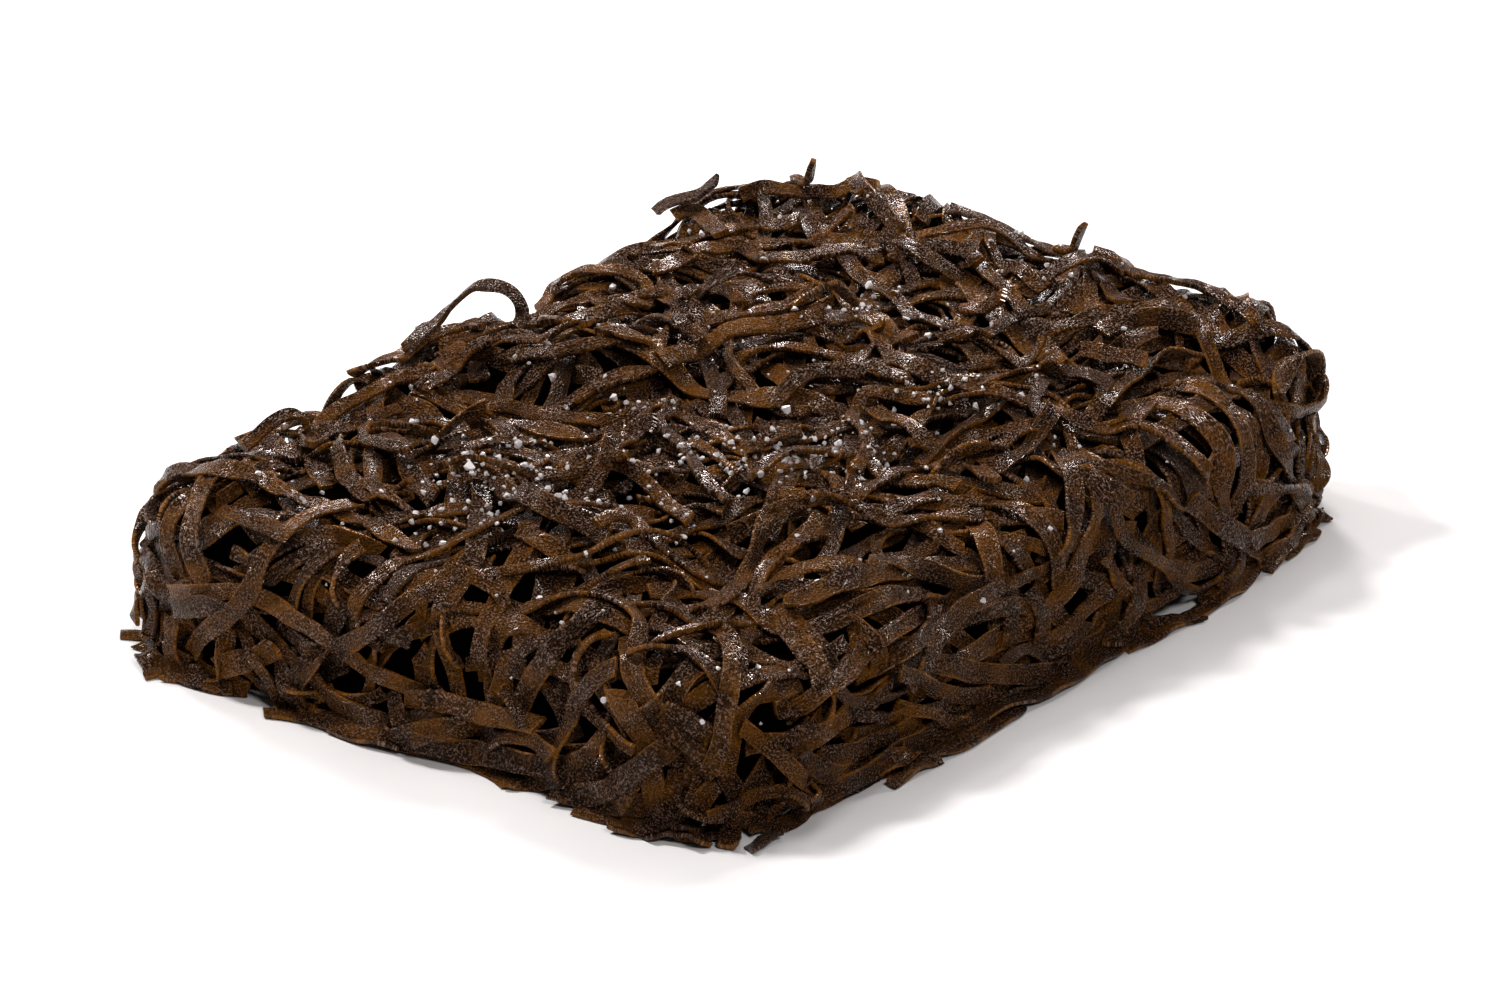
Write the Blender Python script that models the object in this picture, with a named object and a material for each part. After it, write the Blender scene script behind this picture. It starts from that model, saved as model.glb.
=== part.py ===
"""A heap of cut, salted sea spaghetti: leathery seaweed straps in a tangle, with coarse salt on top.

The straps are laid one after another on a smooth mound. The mound is unrolled, so that a place on
it is (u, v) and a height is measured off its skin. Each strap rests on a height field of what lies
there already and is then added to it.
"""
from collections import namedtuple
from math import cos, pi, radians, sin

import bmesh
import bpy
import numpy as np
from mathutils import Vector

MM = 0.001
SEED = 11
GRID = 0.6          # step of the height field
STEP = 1.0          # step along a strap

# The mound under the straps, in millimetres
TOP_HALF = np.array([123.0, 88.0])
CORNER_R = 21.0
SHOULDER_R = 9.0
SIDE_ANGLE = radians(83)
FOOT_R = 4.0
MOUND_H = 45.0
SKIRT = 12.0
RISE = 6.8          # how much higher the top is at its +X end than in the middle
SAG = 5.0           # how far it falls from its ridge to the long sides
RIDGE_Y = 12.0
SWELLS = ((95, 1.6), (62, 1.3), (45, 1.0), (33, 0.7))
OUTLINE_WAVES = ((150, 2.0), (80, 1.5), (48, 1.0))

MIDDLE = np.array([1.35, 0.2])     # moved by this, the heap stands centred on its origin

# The camera that took the picture, in the part's frame: millimetres, radians and pixels
EYE = np.array([-873.95, -683.7, 465.8])
HEADING = 0.6644
DIP = 0.3830
AHEAD = np.array([cos(HEADING), sin(HEADING)])
FOCAL_PX = 4642.5
PICTURE_MID = np.array([750.0, 500.0])

# The bed of straps, with the kinds that are mixed in it: share, width, thickness, bend per
# millimetre, turn on edge in degrees, usual length and its spread
Kind = namedtuple("Kind", "share width thick bend turn length spread")
KINDS = (
    Kind(0.40, (4.4, 6.0), (1.1, 1.5), 0.014, 28, 42, 0.40),
    Kind(0.28, (2.8, 4.0), (1.2, 1.6), 0.034, 55, 34, 0.45),
    Kind(0.32, (3.6, 5.4), (1.1, 1.5), 0.018, 38, 22, 0.30),
)
BED_COUNT = 1050
LIVELY_FROM = 620             # from this strap on, ends kick up and middles arch
LIVELY_INSIDE = 2.0           # only where they keep off the heap's steep sides
BED_TRIES = 7
BED_PRESS = (0.6, 0.75)       # how firmly the first and the lively straps hold up what lies on them
BED_BEND_R = (13.0, 15.0)
LENGTH_RANGE = (12, 150)
LINE_BLUR = 3.0               # how much the line that a strap takes over bumps is evened
OVERHANG = 6.0                # how far a strap may run out past the heap's foot
FLIP_SHARE = 0.22             # how many straps turn over on edge somewhere
SINK_SHARE = 0.7              # how many ends go in under the others, how deep and over what length
SINK_DEPTH = (2.0, 4.5)
SINK_RUN = (7, 16)
KICK_SHARE = 0.4              # how many of the lively straps kick up an end, and by how much
KICK_RISE = (1.5, 6.0)
ARCH_SHARE = 0.3              # how many of them arch, and by how much
ARCH_RISE = (1.5, 4.5)
STAMP_RISE = 1.5              # what stands off by more holds up nothing

# How the straps are cut up for the solid
BED_SHOWN = 145      # how many of the bed's straps are fused to the core
BED_BURIED = 2.0     # how deep they may lie under the others
BED_APART = 9.0      # how near each other they count as a crowd
BED_ROOT = 0.35      # how far they root in what they lie on
BED_RING = 7.6       # step from one cross-section to the next, in the bed and in the top straps
TOP_RING = 4.2
TOP_GAP = 1.3        # how far a top strap keeps off what it lies on
TOP_BEND_R = 15.0
TOP_FIRM = 5         # how many times a top strap is lifted off what it still touches
TOP_THICK = 2.2      # thickness of a narrow top strap, and how much of its width comes off that
TOP_THIN = 0.1
FLOOR_GAP = 0.3      # how far every strap keeps off the floor
CORE_WALKS = (0.0, -9.0, -20.0, -32.0, -44.0, -56.0, -66.0)     # the core's rings, from the edge in
CORE_AROUND = 48
CORE_SINK = 0.2      # how far the core keeps under the lowest straps
SALT_GAP = 0.6
STAND_LEAN = 2.5     # how far the tip of an upright strap leans to the eye
LEG_STEP = 0.03      # least share of an arch's span from one of its points to the next
SIGHT_REST = 3.7     # how high over the bed's evened top a picture point is looked for
ROUTE_BLUR = 2.5
PIXEL_MM = 0.26      # what a picture point measures at the heap
FOOT = 6.0           # how far a strap that ends in the air lies on the heap behind it

# The straps that show whole on the top, in the order they lie: width in millimetres, lean to the
# eye in degrees, the picture points they run through and their rise over what lies below
Top = namedtuple("Top", "width lean at rise", defaults=(None,))
TOPS = (
    Top(5.1, 18, [(652, 264), (672, 261), (695, 250), (720, 243), (745, 240), (780, 247), (820, 251),
        (880, 254)]),
    Top(5.1, 14, [(675, 215), (692, 211), (706, 218), (722, 234)]),
    Top(4.7, 18, [(742, 200), (790, 190), (820, 186), (850, 183), (875, 181)]),
    Top(4.7, 7, [(855, 183), (870, 200), (885, 213), (898, 224)]),
    Top(5.1, 21, [(818, 235), (850, 237), (904, 238)]),
    Top(4.3, 21, [(892, 258), (908, 250), (930, 246), (958, 252), (978, 259)]),
    Top(4.7, 18, [(950, 202), (1000, 212), (1040, 222), (1085, 243)]),
    Top(4.7, 4, [(1085, 250), (1100, 270), (1113, 286), (1122, 295)]),
    Top(5.1, 20, [(1092, 257), (1116, 252), (1138, 250)]),
    Top(3.5, 14, [(1130, 268), (1160, 268), (1190, 272), (1215, 285), (1235, 298), (1255, 315)]),
    Top(3.9, 10, [(1070, 307), (1110, 310), (1140, 307), (1190, 306)]),
    Top(6.2, 22, [(1102, 328), (1140, 326), (1170, 321), (1202, 322)]),
    Top(3.9, 14, [(1000, 263), (1015, 261), (1030, 272), (1045, 290)]),
    Top(3.1, 10, [(940, 340), (970, 335), (1000, 322), (1020, 310), (1048, 306)]),
    Top(4.7, 20, [(1080, 345), (1100, 355), (1145, 358)]),
    Top(3.5, 14, [(1112, 381), (1090, 372), (1060, 372), (1035, 385), (1035, 400), (1045, 415)]),
    Top(3.9, 18, [(698, 307), (722, 311), (760, 306), (790, 298), (810, 292)]),
    Top(4.3, 15, [(780, 390), (820, 378), (860, 365), (880, 355)]),
    Top(4.3, 18, [(866, 362), (886, 367), (908, 372)]),
    Top(5.1, 24, [(665, 357), (700, 345), (740, 333), (780, 323), (810, 316), (850, 314), (880, 320),
        (910, 330)]),
    Top(3.5, 18, [(740, 295), (725, 288), (705, 284), (685, 290), (675, 300), (678, 315), (690, 330),
        (700, 345)]),
    Top(3.5, 10, [(930, 395), (900, 393), (880, 392), (862, 398), (853, 410), (862, 422), (870, 432),
        (865, 448), (857, 462)]),
    Top(3.9, 14, [(755, 478), (752, 455), (765, 438), (780, 430), (800, 427)]),
    Top(4.3, 18, [(730, 530), (760, 512), (800, 500), (850, 488)]),
    Top(3.5, 14, [(535, 295), (560, 267), (585, 262), (605, 268), (640, 272), (650, 285), (640, 298),
        (620, 305), (600, 308), (585, 316)]),
    Top(4.7, 20, [(598, 320), (613, 319), (630, 325), (650, 335)]),
    Top(3.9, 14, [(505, 352), (530, 352), (550, 350), (592, 352)]),
    Top(3.9, 18, [(497, 402), (520, 408), (545, 412), (600, 415), (650, 408), (678, 392)]),
    Top(3.5, 4, [(672, 400), (660, 425), (680, 450), (700, 470), (730, 498)]),
    Top(5.9, 27, [(455, 478), (500, 492), (540, 508), (580, 520), (610, 535)]),
    Top(5.5, 22, [(576, 454), (598, 447), (620, 439), (640, 433), (656, 428)]),
    Top(3.9, 7, [(614, 458), (631, 471), (645, 485), (660, 498), (690, 515)]),
    Top(3.5, 18, [(600, 534), (612, 522), (626, 515), (638, 512), (649, 521)]),
    Top(3.1, 6, [(440, 478), (490, 473), (560, 474), (600, 470), (625, 462)]),
    Top(3.9, 14, [(303, 438), (318, 420), (335, 405), (355, 397), (380, 385), (400, 373), (425, 370)]),
    Top(4.3, 15, [(345, 365), (375, 358), (405, 345), (430, 328), (455, 318), (480, 316)]),
    Top(3.1, 10, [(395, 400), (372, 412), (360, 425), (360, 437), (375, 440), (395, 445), (405, 452)]),
    Top(3.9, 14, [(420, 388), (440, 375), (460, 362), (475, 352), (492, 343)]),
    Top(3.1, 4, [(790, 315), (800, 300), (815, 285), (825, 278), (835, 285), (855, 308)],
        (0, 2, 4, 5, 4, 0)),
    Top(3.7, 45, [(405, 350), (422, 337), (440, 322), (458, 297), (476, 280), (495, 272), (512, 275),
        (523, 285), (529, 297), (524, 318), (518, 332)], (0, 0, 0, 5, 7.5, 8.5, 8.5, 7.5, 5, 0, 0)),
    Top(3.5, 40, [(244, 446), (250, 434), (262, 412), (275, 405), (290, 406), (300, 412), (308, 434),
        (312, 446)], (0, 0, 4, 6, 6, 4, 0, 0)),
    Top(2.6, 0, [(804, 192), (810, 154)], (0, 12)),
    Top(3.7, 40, [(690, 210), (717, 187)], (0, 7)),
    Top(3.9, 0, [(1070, 242), (1076, 217)], (0, 7)),
    Top(3.9, 14, [(980, 308), (1000, 277)], (0, 6)),
)

# The larger grains of salt: picture points and sizes in millimetres
GRAINS = {(470, 470): 4.0, (785, 410): 4.2, (553, 380): 3.2, (612, 396): 3.0, (520, 440): 3.4,
          (568, 500): 3.2, (700, 225): 3.0, (797, 318): 3.0, (870, 286): 3.2, (905, 312): 3.0,
          (840, 450): 3.4, (1048, 267): 3.0, (975, 402): 3.2, (437, 447): 3.0}

WEED_COLOR = (0.052, 0.034, 0.017, 1.0)
WEED_ROUGHNESS = 0.4
SALT_COLOR = (0.86, 0.87, 0.88, 1.0)
SALT_ROUGHNESS = 0.15


class Mound:
    """The smooth body that the straps lie on, with the height field of what lies there."""

    def __init__(self, rng):
        reach = TOP_HALF + skirt_start() + SKIRT
        self.count = np.ceil(2 * reach / GRID).astype(int) + 1
        self.low = -(self.count - 1) * GRID / 2
        u, v = (self.low[k] + GRID * np.arange(self.count[k]) for k in (0, 1))
        u, v = np.meshgrid(u, v, indexing="ij")
        self.down, out_x, out_y = distance_outside(u, v)
        walk = np.maximum(self.down, 0)
        top_x, top_y = u - out_x * walk, v - out_y * walk
        run, drop = side_profile(walk)
        x, y = top_x + out_x * run, top_y + out_y * run
        bulge = waves(rng, OUTLINE_WAVES, x, y) * np.clip(walk / 10, 0, 1)
        x, y = x + out_x * bulge, y + out_y * bulge
        crown = MOUND_H + RISE * top_x / TOP_HALF[0] - SAG * ((top_y - RIDGE_Y) / TOP_HALF[1]) ** 2
        crown += waves(rng, SWELLS, top_x, top_y) + waves(rng, SWELLS, top_y, top_x)
        high = np.maximum(crown * (1 - drop / MOUND_H), 0)
        self.skin = np.stack([x - MIDDLE[0], y - MIDDLE[1], high], -1)
        self.out = outward(self.skin)
        self.height = np.zeros(self.count)

    def read(self, field, places):
        """A field's value at (u, v) places, between its four nearest points."""
        at = np.clip((places - self.low) / GRID, 0, self.count - 1.001)
        cell = at.astype(int)
        part = at - cell
        a, b = cell[..., 0], cell[..., 1]
        fa, fb = part[..., 0], part[..., 1]
        if field.ndim == 3:
            fa, fb = fa[..., None], fb[..., None]
        near = field[a, b] * (1 - fa) + field[a + 1, b] * fa
        far = field[a, b + 1] * (1 - fa) + field[a + 1, b + 1] * fa
        return near * (1 - fb) + far * fb

    def lift(self, places, heights):
        """(u, v) places and heights off the skin as x, y, z."""
        return self.read(self.skin, places) + heights[..., None] * self.read(self.out, places)


def side_arcs():
    """Walks to the end of the shoulder, of the straight side and of the foot."""
    turned = 1 - cos(SIDE_ANGLE)
    shoulder = SHOULDER_R * SIDE_ANGLE
    straight = (MOUND_H - (SHOULDER_R + FOOT_R) * turned) / sin(SIDE_ANGLE)
    return shoulder, shoulder + straight, shoulder + straight + FOOT_R * SIDE_ANGLE


def skirt_start():
    return side_arcs()[2]


def side_profile(walk):
    """How far out and how far down a walk over the edge of the top leads."""
    shoulder, side, foot = side_arcs()
    turn = np.clip(walk, 0, shoulder) / SHOULDER_R
    straight = np.clip(walk - shoulder, 0, side - shoulder)
    left = SIDE_ANGLE - np.clip(walk - side, 0, foot - side) / FOOT_R
    run = SHOULDER_R * np.sin(turn) + straight * cos(SIDE_ANGLE)
    run += FOOT_R * (sin(SIDE_ANGLE) - np.sin(left)) + np.maximum(walk - foot, 0)
    drop = SHOULDER_R * (1 - np.cos(turn)) + straight * sin(SIDE_ANGLE)
    drop += FOOT_R * (np.cos(left) - cos(SIDE_ANGLE))
    return run, drop


def distance_outside(u, v):
    """Distance past the top's rounded outline, and the direction straight out of it."""
    past_u = np.abs(u) - (TOP_HALF[0] - CORNER_R)
    past_v = np.abs(v) - (TOP_HALF[1] - CORNER_R)
    corner_u, corner_v = np.maximum(past_u, 0), np.maximum(past_v, 0)
    outer = np.hypot(corner_u, corner_v)
    down = outer + np.minimum(np.maximum(past_u, past_v), 0) - CORNER_R
    safe = np.maximum(outer, 1e-9)
    return down, corner_u / safe * np.sign(u), corner_v / safe * np.sign(v)


def waves(rng, kinds, x, y):
    """A smooth uneven surface: one sine for each (length, height), in a drawn direction."""
    total = np.zeros_like(x)
    for length, height in kinds:
        way, start = rng.uniform(0, 2 * pi, 2)
        total += height * np.sin(2 * pi / length * (x * cos(way) + y * sin(way)) + start)
    return total


def outward(skin):
    """Directions off the skin, evened out so that heights over a bend fan out."""
    out = np.cross(np.gradient(skin, axis=0), np.gradient(skin, axis=1))
    out /= np.linalg.norm(out, axis=-1, keepdims=True)
    for _ in range(10):
        wide = np.pad(out, ((3, 3), (3, 3), (0, 0)), "edge")
        out = wide[6:, 3:-3] + wide[:-6, 3:-3] + wide[3:-3, 6:] + wide[3:-3, :-6] + 2 * out
    return out / np.linalg.norm(out, axis=-1, keepdims=True)


class Strap:
    """One cut strap: its route, and its width, thickness and turn along it."""

    def __init__(self, route, rise, width, thick, turn):
        self.route, self.rise = route, rise
        self.width, self.thick, self.turn = width, thick, turn
        self.along = np.arange(len(route)) * STEP
        way = np.gradient(route, axis=0)
        way /= np.maximum(np.linalg.norm(way, axis=1, keepdims=True), 1e-6)
        self.side = np.stack([-way[:, 1], way[:, 0]], -1)

    def lay(self, mound, bend_r, gap, press, firm):
        """Drapes the strap over what lies there. A press below 1 lets it sink in a little."""
        across = self.width[:, None] * np.linspace(-0.5, 0.5, 7)
        flat = mound.read(mound.height, self.spots(across))
        slope = (flat[:, -2:].mean(1) - flat[:, :2].mean(1)) / (0.8 * self.width)
        self.turn = self.turn + 0.8 * np.arctan(smooth(slope, 5.0)) * np.cos(self.turn)
        reach, lean = np.cos(self.turn)[:, None], np.sin(self.turn)[:, None]
        under = mound.read(mound.height, self.spots(across * reach)) - across * lean
        under = np.sort(under, axis=1)
        need = press * under[:, -1] + (1 - press) * under[:, 3]
        need += self.thick / 2 * np.abs(reach[:, 0]) + gap
        height = smooth(drape(need, self.along, bend_r), LINE_BLUR)
        for _ in range(firm):
            lack = drape(np.maximum(need - height, 0), self.along, 6.0)
            height = height + 0.8 * np.maximum(smooth(lack, 1.5), 0)
        self.level = height + self.rise

    def spots(self, across):
        return self.route[:, None, :] + across[..., None] * self.side[:, None, :]

    def bury(self, depths):
        """Sinks each end along its last stretch, as if it went in under the others."""
        self.sunk = np.zeros(len(self.route))
        for end, (deep, run) in zip((self.along, self.along[-1] - self.along), depths):
            self.sunk = np.maximum(self.sunk, deep * np.clip(1 - end / run, 0, 1) ** 1.5)
        self.level = np.maximum(self.level - self.sunk, self.thick / 2)

    def stamp(self, mound):
        """Adds the strap's top to the height field."""
        fine = np.arange(0, self.along[-1], GRID * 0.8)
        route, side = rows(self.route, fine), rows(self.side, fine)
        width, turn, level = rows(self.width, fine), rows(self.turn, fine), rows(self.level, fine)
        across = width[:, None] * np.linspace(-0.5, 0.5, int(self.width.max() / 0.4) + 2)
        reach, lean = np.cos(turn)[:, None], np.sin(turn)[:, None]
        spots = route[:, None, :] + (across * reach)[..., None] * side[:, None, :]
        top = level[:, None] + across * lean + self.thick / 2 * np.abs(reach)
        shown = (rows(self.sunk, fine) < 1.0) & (rows(self.rise, fine) < STAMP_RISE)
        cell = np.clip(np.round((spots[shown] - mound.low) / GRID).astype(int), 0, mound.count - 1)
        np.maximum.at(mound.height, (cell[..., 0], cell[..., 1]), top[shown])


def rows(values, places):
    """Values along a strap, read between its steps."""
    at = np.asarray(places) / STEP
    cell = np.minimum(at.astype(int), len(values) - 2)
    part = at - cell
    if values.ndim == 2:
        part = part[:, None]
    return values[cell] * (1 - part) + values[cell + 1] * part


def smooth(values, sigma):
    """A Gaussian blur along a strap that keeps straight runs straight at its ends."""
    reach = min(int(3 * sigma), len(values) - 1)
    weight = np.exp(-0.5 * (np.arange(-reach, reach + 1) / sigma) ** 2)
    before = 2 * values[0] - values[reach:0:-1]
    after = 2 * values[-1] - values[-2:-reach - 2:-1]
    return np.convolve(np.concatenate([before, values, after]), weight / weight.sum(), "valid")


def drape(need, along, bend_r):
    """The lowest line over the heights needed that bends no tighter than the radius."""
    apart = along[:, None] - along[None, :]
    return (need[None, :] - apart ** 2 / (2 * bend_r)).max(1)


def draw_route(rng, kind, length):
    """A wandering route about the origin, in the kind's own bends."""
    along = np.arange(0, length, STEP)
    bend = rng.normal() * kind.bend
    for wave, part in ((rng.uniform(18, 60), 1.8), (rng.uniform(8, 14), 2.2)):
        size = rng.uniform(0, part) * kind.bend
        bend = bend + size * np.sin(2 * pi * along / wave + rng.uniform(0, 2 * pi))
    way = rng.uniform(0, 2 * pi) + np.cumsum(bend) * STEP
    route = np.cumsum(np.stack([np.cos(way), np.sin(way)], -1), 0) * STEP
    return route - route.mean(0), bend


def draw_place(mound, rng, kind, length):
    """Of a few draws, the route over the lowest ground."""
    best, found = None, None
    while found is None:
        for _ in range(BED_TRIES):
            middle = rng.uniform(mound.low, -mound.low)
            route, bend = draw_route(rng, kind, length)
            route = route + middle
            outside = mound.read(mound.down, route).max() - skirt_start()
            if outside > OVERHANG:
                continue
            ground = mound.read(mound.height, route)
            score = ground.mean() + 0.25 * ground.max() + 0.25 * max(outside + 2, 0)
            if best is None or score < best:
                best, found = score, (route, bend)
    return found


def draw_turn(rng, kind, along, bend):
    """How far the strap turns on edge: in its bends, by a slow wave and here and there by more."""
    curl = np.tanh(18 * smooth(bend, 4.0)) * rng.uniform(0.4, 1.0)
    turn = radians(kind.turn) * curl
    for wave in (rng.uniform(20, 50), rng.uniform(11, 26)):
        turn += radians(rng.uniform(2, 12)) * np.sin(2 * pi * along / wave + rng.uniform(0, 2 * pi))
    middle, reach = along[-1] * rng.uniform(0.2, 0.8), rng.uniform(5, 10)
    flip = radians(rng.uniform(40, 80)) * rng.choice([-1, 1]) * (rng.random() < FLIP_SHARE)
    return turn + flip * np.exp(-((along - middle) / reach) ** 2)


def draw_rise(rng, along):
    """How far a strap stands off the others: at an end that kicks up, or where it arches."""
    kick = rng.uniform(*KICK_RISE) * (rng.random() < KICK_SHARE)
    rise = kick * np.clip(1 - along / rng.uniform(9, 17), 0, 1) ** 1.4
    arch = rng.uniform(*ARCH_RISE) * (rng.random() < ARCH_SHARE)
    middle, reach = along[-1] * rng.uniform(0.3, 0.7), rng.uniform(12, 22)
    return rise + arch * np.clip(1 - ((along - middle) / reach) ** 2, 0, 1) ** 2


def lay_bed(mound, rng):
    """The many straps of the heap, from the mound outward."""
    straps = []
    shares = np.cumsum([kind.share for kind in KINDS])
    for number in range(BED_COUNT):
        kind = KINDS[int(np.searchsorted(shares, rng.random()))]
        length = np.clip(kind.length * np.exp(kind.spread * rng.normal()), *LENGTH_RANGE)
        route, bend = draw_place(mound, rng, kind, length)
        along = np.arange(len(route)) * STEP
        turn = draw_turn(rng, kind, along, bend)
        swell = 1 + 0.06 * np.sin(2 * pi * along / rng.uniform(14, 34) + rng.uniform(0, 6))
        width = rng.uniform(*kind.width) * swell
        lively = int(number >= LIVELY_FROM)
        inside = mound.read(mound.down, route).max() < LIVELY_INSIDE
        rise = draw_rise(rng, along) * lively * inside
        strap = Strap(route, rise, width, rng.uniform(*kind.thick), turn)
        strap.lay(mound, BED_BEND_R[lively], 0.05, BED_PRESS[lively], 1)
        first = rng.uniform(*SINK_DEPTH) * (rng.random() < SINK_SHARE) * (rise[0] < 0.5)
        last = rng.uniform(*SINK_DEPTH) * (rng.random() < SINK_SHARE)
        strap.bury(((first, rng.uniform(*SINK_RUN)), (last, rng.uniform(*SINK_RUN))))
        strap.stamp(mound)
        straps.append(strap)
    return straps


class Sighting:
    """Finds the place on the heap that each picture point shows."""

    def __init__(self, mound):
        self.mound = mound
        ahead = np.array([cos(HEADING) * cos(DIP), sin(HEADING) * cos(DIP), -sin(DIP)])
        right = np.array([sin(HEADING), -cos(HEADING), 0.0])
        self.frame = np.stack([right, np.cross(right, ahead), ahead])
        self.skin = mound.skin[::2, ::2]
        self.out = mound.out[::2, ::2]
        self.level = even(mound.height, 8)[::2, ::2] + SIGHT_REST

    def across(self, pixels):
        """The way in plan that a run of picture points to the right stands for."""
        return pixels * PIXEL_MM * np.array([AHEAD[1], -AHEAD[0]])

    def place(self, point):
        """The (u, v) seen at a picture point."""
        spots = self.skin + self.level[..., None] * self.out - EYE
        seen = spots @ self.frame.T
        flat = seen[..., :2] / seen[..., 2:] * FOCAL_PX * (1, -1) + PICTURE_MID
        facing = (self.out * spots).sum(-1) < 0
        miss = np.hypot(*(np.moveaxis(flat, -1, 0) - np.array(point)[:, None, None]))
        miss = np.where(facing, miss, 1e9)
        near = np.where(miss < max(6.0, miss.min() + 0.5), seen[..., 2] + 2 * miss, 1e9)
        at = np.unravel_index(near.argmin(), near.shape)
        return self.mound.low + 2 * GRID * np.array(at)


def even(field, reach):
    """A field blurred over a few grid steps."""
    for _ in range(reach):
        wide = np.pad(field, 1, "edge")
        field = (wide[2:, 1:-1] + wide[:-2, 1:-1] + wide[1:-1, 2:] + wide[1:-1, :-2] + wide[1:-1, 1:-1]) / 5
    return field


def thread(points):
    """A smooth line through points, with an even step."""
    points = np.asarray(points, float)
    ends = 2 * points[[0, -1]] - points[[1, -2]]
    knots = np.concatenate([ends[:1], points, ends[1:]])
    line = []
    for k in range(len(points) - 1):
        a, b, c, d = knots[k:k + 4]
        t = np.linspace(0, 1, 24, endpoint=False)[:, None]
        line.append(0.5 * (2 * b + (c - a) * t + (2 * a - 5 * b + 4 * c - d) * t ** 2
                           + (3 * b - a - 3 * c + d) * t ** 3))
    line = np.concatenate(line + [points[-1:]])
    walk = np.concatenate([[0], np.cumsum(np.linalg.norm(np.diff(line, axis=0), axis=1))])
    steps = np.linspace(0, walk[-1], max(int(round(walk[-1] / STEP)), 6) + 1)
    return np.stack([np.interp(steps, walk, line[:, k]) for k in range(line.shape[1])], -1)


def trace(sighting, top):
    """A top strap's points: u, v and rise. An arch stands over the line between its feet, and a
    strap that ends in the air lies on the heap up to its foot."""
    rises = np.array(top.rise or [0.0] * len(top.at), float)
    spots = np.array([(*sighting.place(point), rise) for point, rise in zip(top.at, rises)])
    raised = np.flatnonzero(rises)
    if len(raised) == 0:
        return spots
    first, last = raised[0] - 1, raised[-1] + 1
    if last < len(spots):
        run = np.array(top.at, float)[first:last + 1, 0]
        part = np.maximum.accumulate((run - run[0]) / (run[-1] - run[0]))
        part += LEG_STEP * np.arange(len(part))
        line = (part / part[-1])[:, None] * (spots[last] - spots[first])
        spots[first:last + 1, :2] = (spots[first] + line)[:, :2]
        return spots
    foot = spots[first]
    tip = foot + (*(sighting.across(top.at[-1][0] - top.at[first][0]) - STAND_LEAN * AHEAD), rises[-1])
    way = (tip - foot) * (1, 1, 0)
    way /= np.linalg.norm(way)
    knee = foot + (tip - foot) * (0.4, 0.4, 0.3)
    return np.array([foot - FOOT * way, foot - 0.4 * FOOT * way, foot, knee, tip])


def lay_tops(mound, rng):
    """The straps that show whole, where the picture shows them."""
    straps = []
    sighting = Sighting(mound)
    for top in TOPS:
        line = thread(trace(sighting, top))
        if len(line) > 15:
            line = np.stack([smooth(column, ROUTE_BLUR) for column in line.T], -1)
        along = np.arange(len(line)) * STEP
        width = top.width * (1 + 0.05 * np.sin(2 * pi * along / rng.uniform(16, 30) + rng.uniform(0, 6)))
        thick = TOP_THICK - TOP_THIN * top.width
        strap = Strap(line[:, :2], np.maximum(line[:, 2], 0), width, thick, 0)
        sway = radians(rng.uniform(4, 12)) * np.sin(2 * pi * along / rng.uniform(20, 44) + rng.uniform(0, 6))
        strap.turn = radians(top.lean) * smooth(strap.side @ AHEAD, 3.0) + sway
        strap.lay(mound, TOP_BEND_R, TOP_GAP, 1.0, TOP_FIRM)
        strap.bury(((0, 1), (0, 1)))
        strap.stamp(mound)
        straps.append(strap)
    return straps


def sections(mound, strap, places, outline):
    """The strap's cross-sections at places along it, square to its run."""
    line = mound.lift(strap.route, strap.level)
    run = np.gradient(line, axis=0)
    run /= np.linalg.norm(run, axis=1, keepdims=True)
    side = mound.lift(strap.route + strap.side, strap.level) - line
    side -= (side * run).sum(1, keepdims=True) * run
    side /= np.linalg.norm(side, axis=1, keepdims=True)
    up = np.cross(run, side)
    line, side, up = rows(line, places), rows(side, places), rows(up, places)
    turn, width = rows(strap.turn, places), rows(strap.width, places)
    reach, lean = np.cos(turn)[:, None], np.sin(turn)[:, None]
    across, through = side * reach + up * lean, up * reach - side * lean
    corners = (line[:, None, :]
               + (width[:, None] * outline[:, 0])[..., None] * across[:, None, :]
               + (strap.thick * outline[:, 1])[None, :, None] * through[:, None, :])
    corners[..., 2] = np.maximum(corners[..., 2], FLOOR_GAP)
    return corners


def loft(corners):
    """A closed strap from its cross-sections, with both faces split alike into triangles."""
    bm = bmesh.new()
    rings = [[bm.verts.new(corner * MM) for corner in ring] for ring in corners]
    for one, two in zip(rings, rings[1:]):
        for k in range(4):
            a, b, c, d = one[k], one[(k + 1) % 4], two[(k + 1) % 4], two[k]
            split = ((a, b, d), (b, c, d)) if k in (2, 3) else ((a, b, c), (a, c, d))
            for corner in split:
                bm.faces.new(corner)
    bm.faces.new(rings[0][::-1])
    bm.faces.new(rings[-1])
    bmesh.ops.recalc_face_normals(bm, faces=bm.faces)
    return bm


OBLONG = np.array([(-0.5, 0.5), (0.5, 0.5), (0.5, -0.5), (-0.5, -0.5)])


def ring_places(strap, step):
    length = strap.along[-1]
    return np.linspace(0, length, max(int(round(length / step)), 2) + 1)


def core_level(mound):
    """The core's height off the skin: an even surface a little below the lowest straps shown."""
    low = mound.height
    for _ in range(6):
        wide = np.pad(low, 1, "edge")
        low = np.minimum.reduce([wide[2:, 1:-1], wide[:-2, 1:-1], wide[1:-1, 2:], wide[1:-1, :-2], low])
    return np.maximum(even(low, 12) - CORE_SINK, 0)


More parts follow.
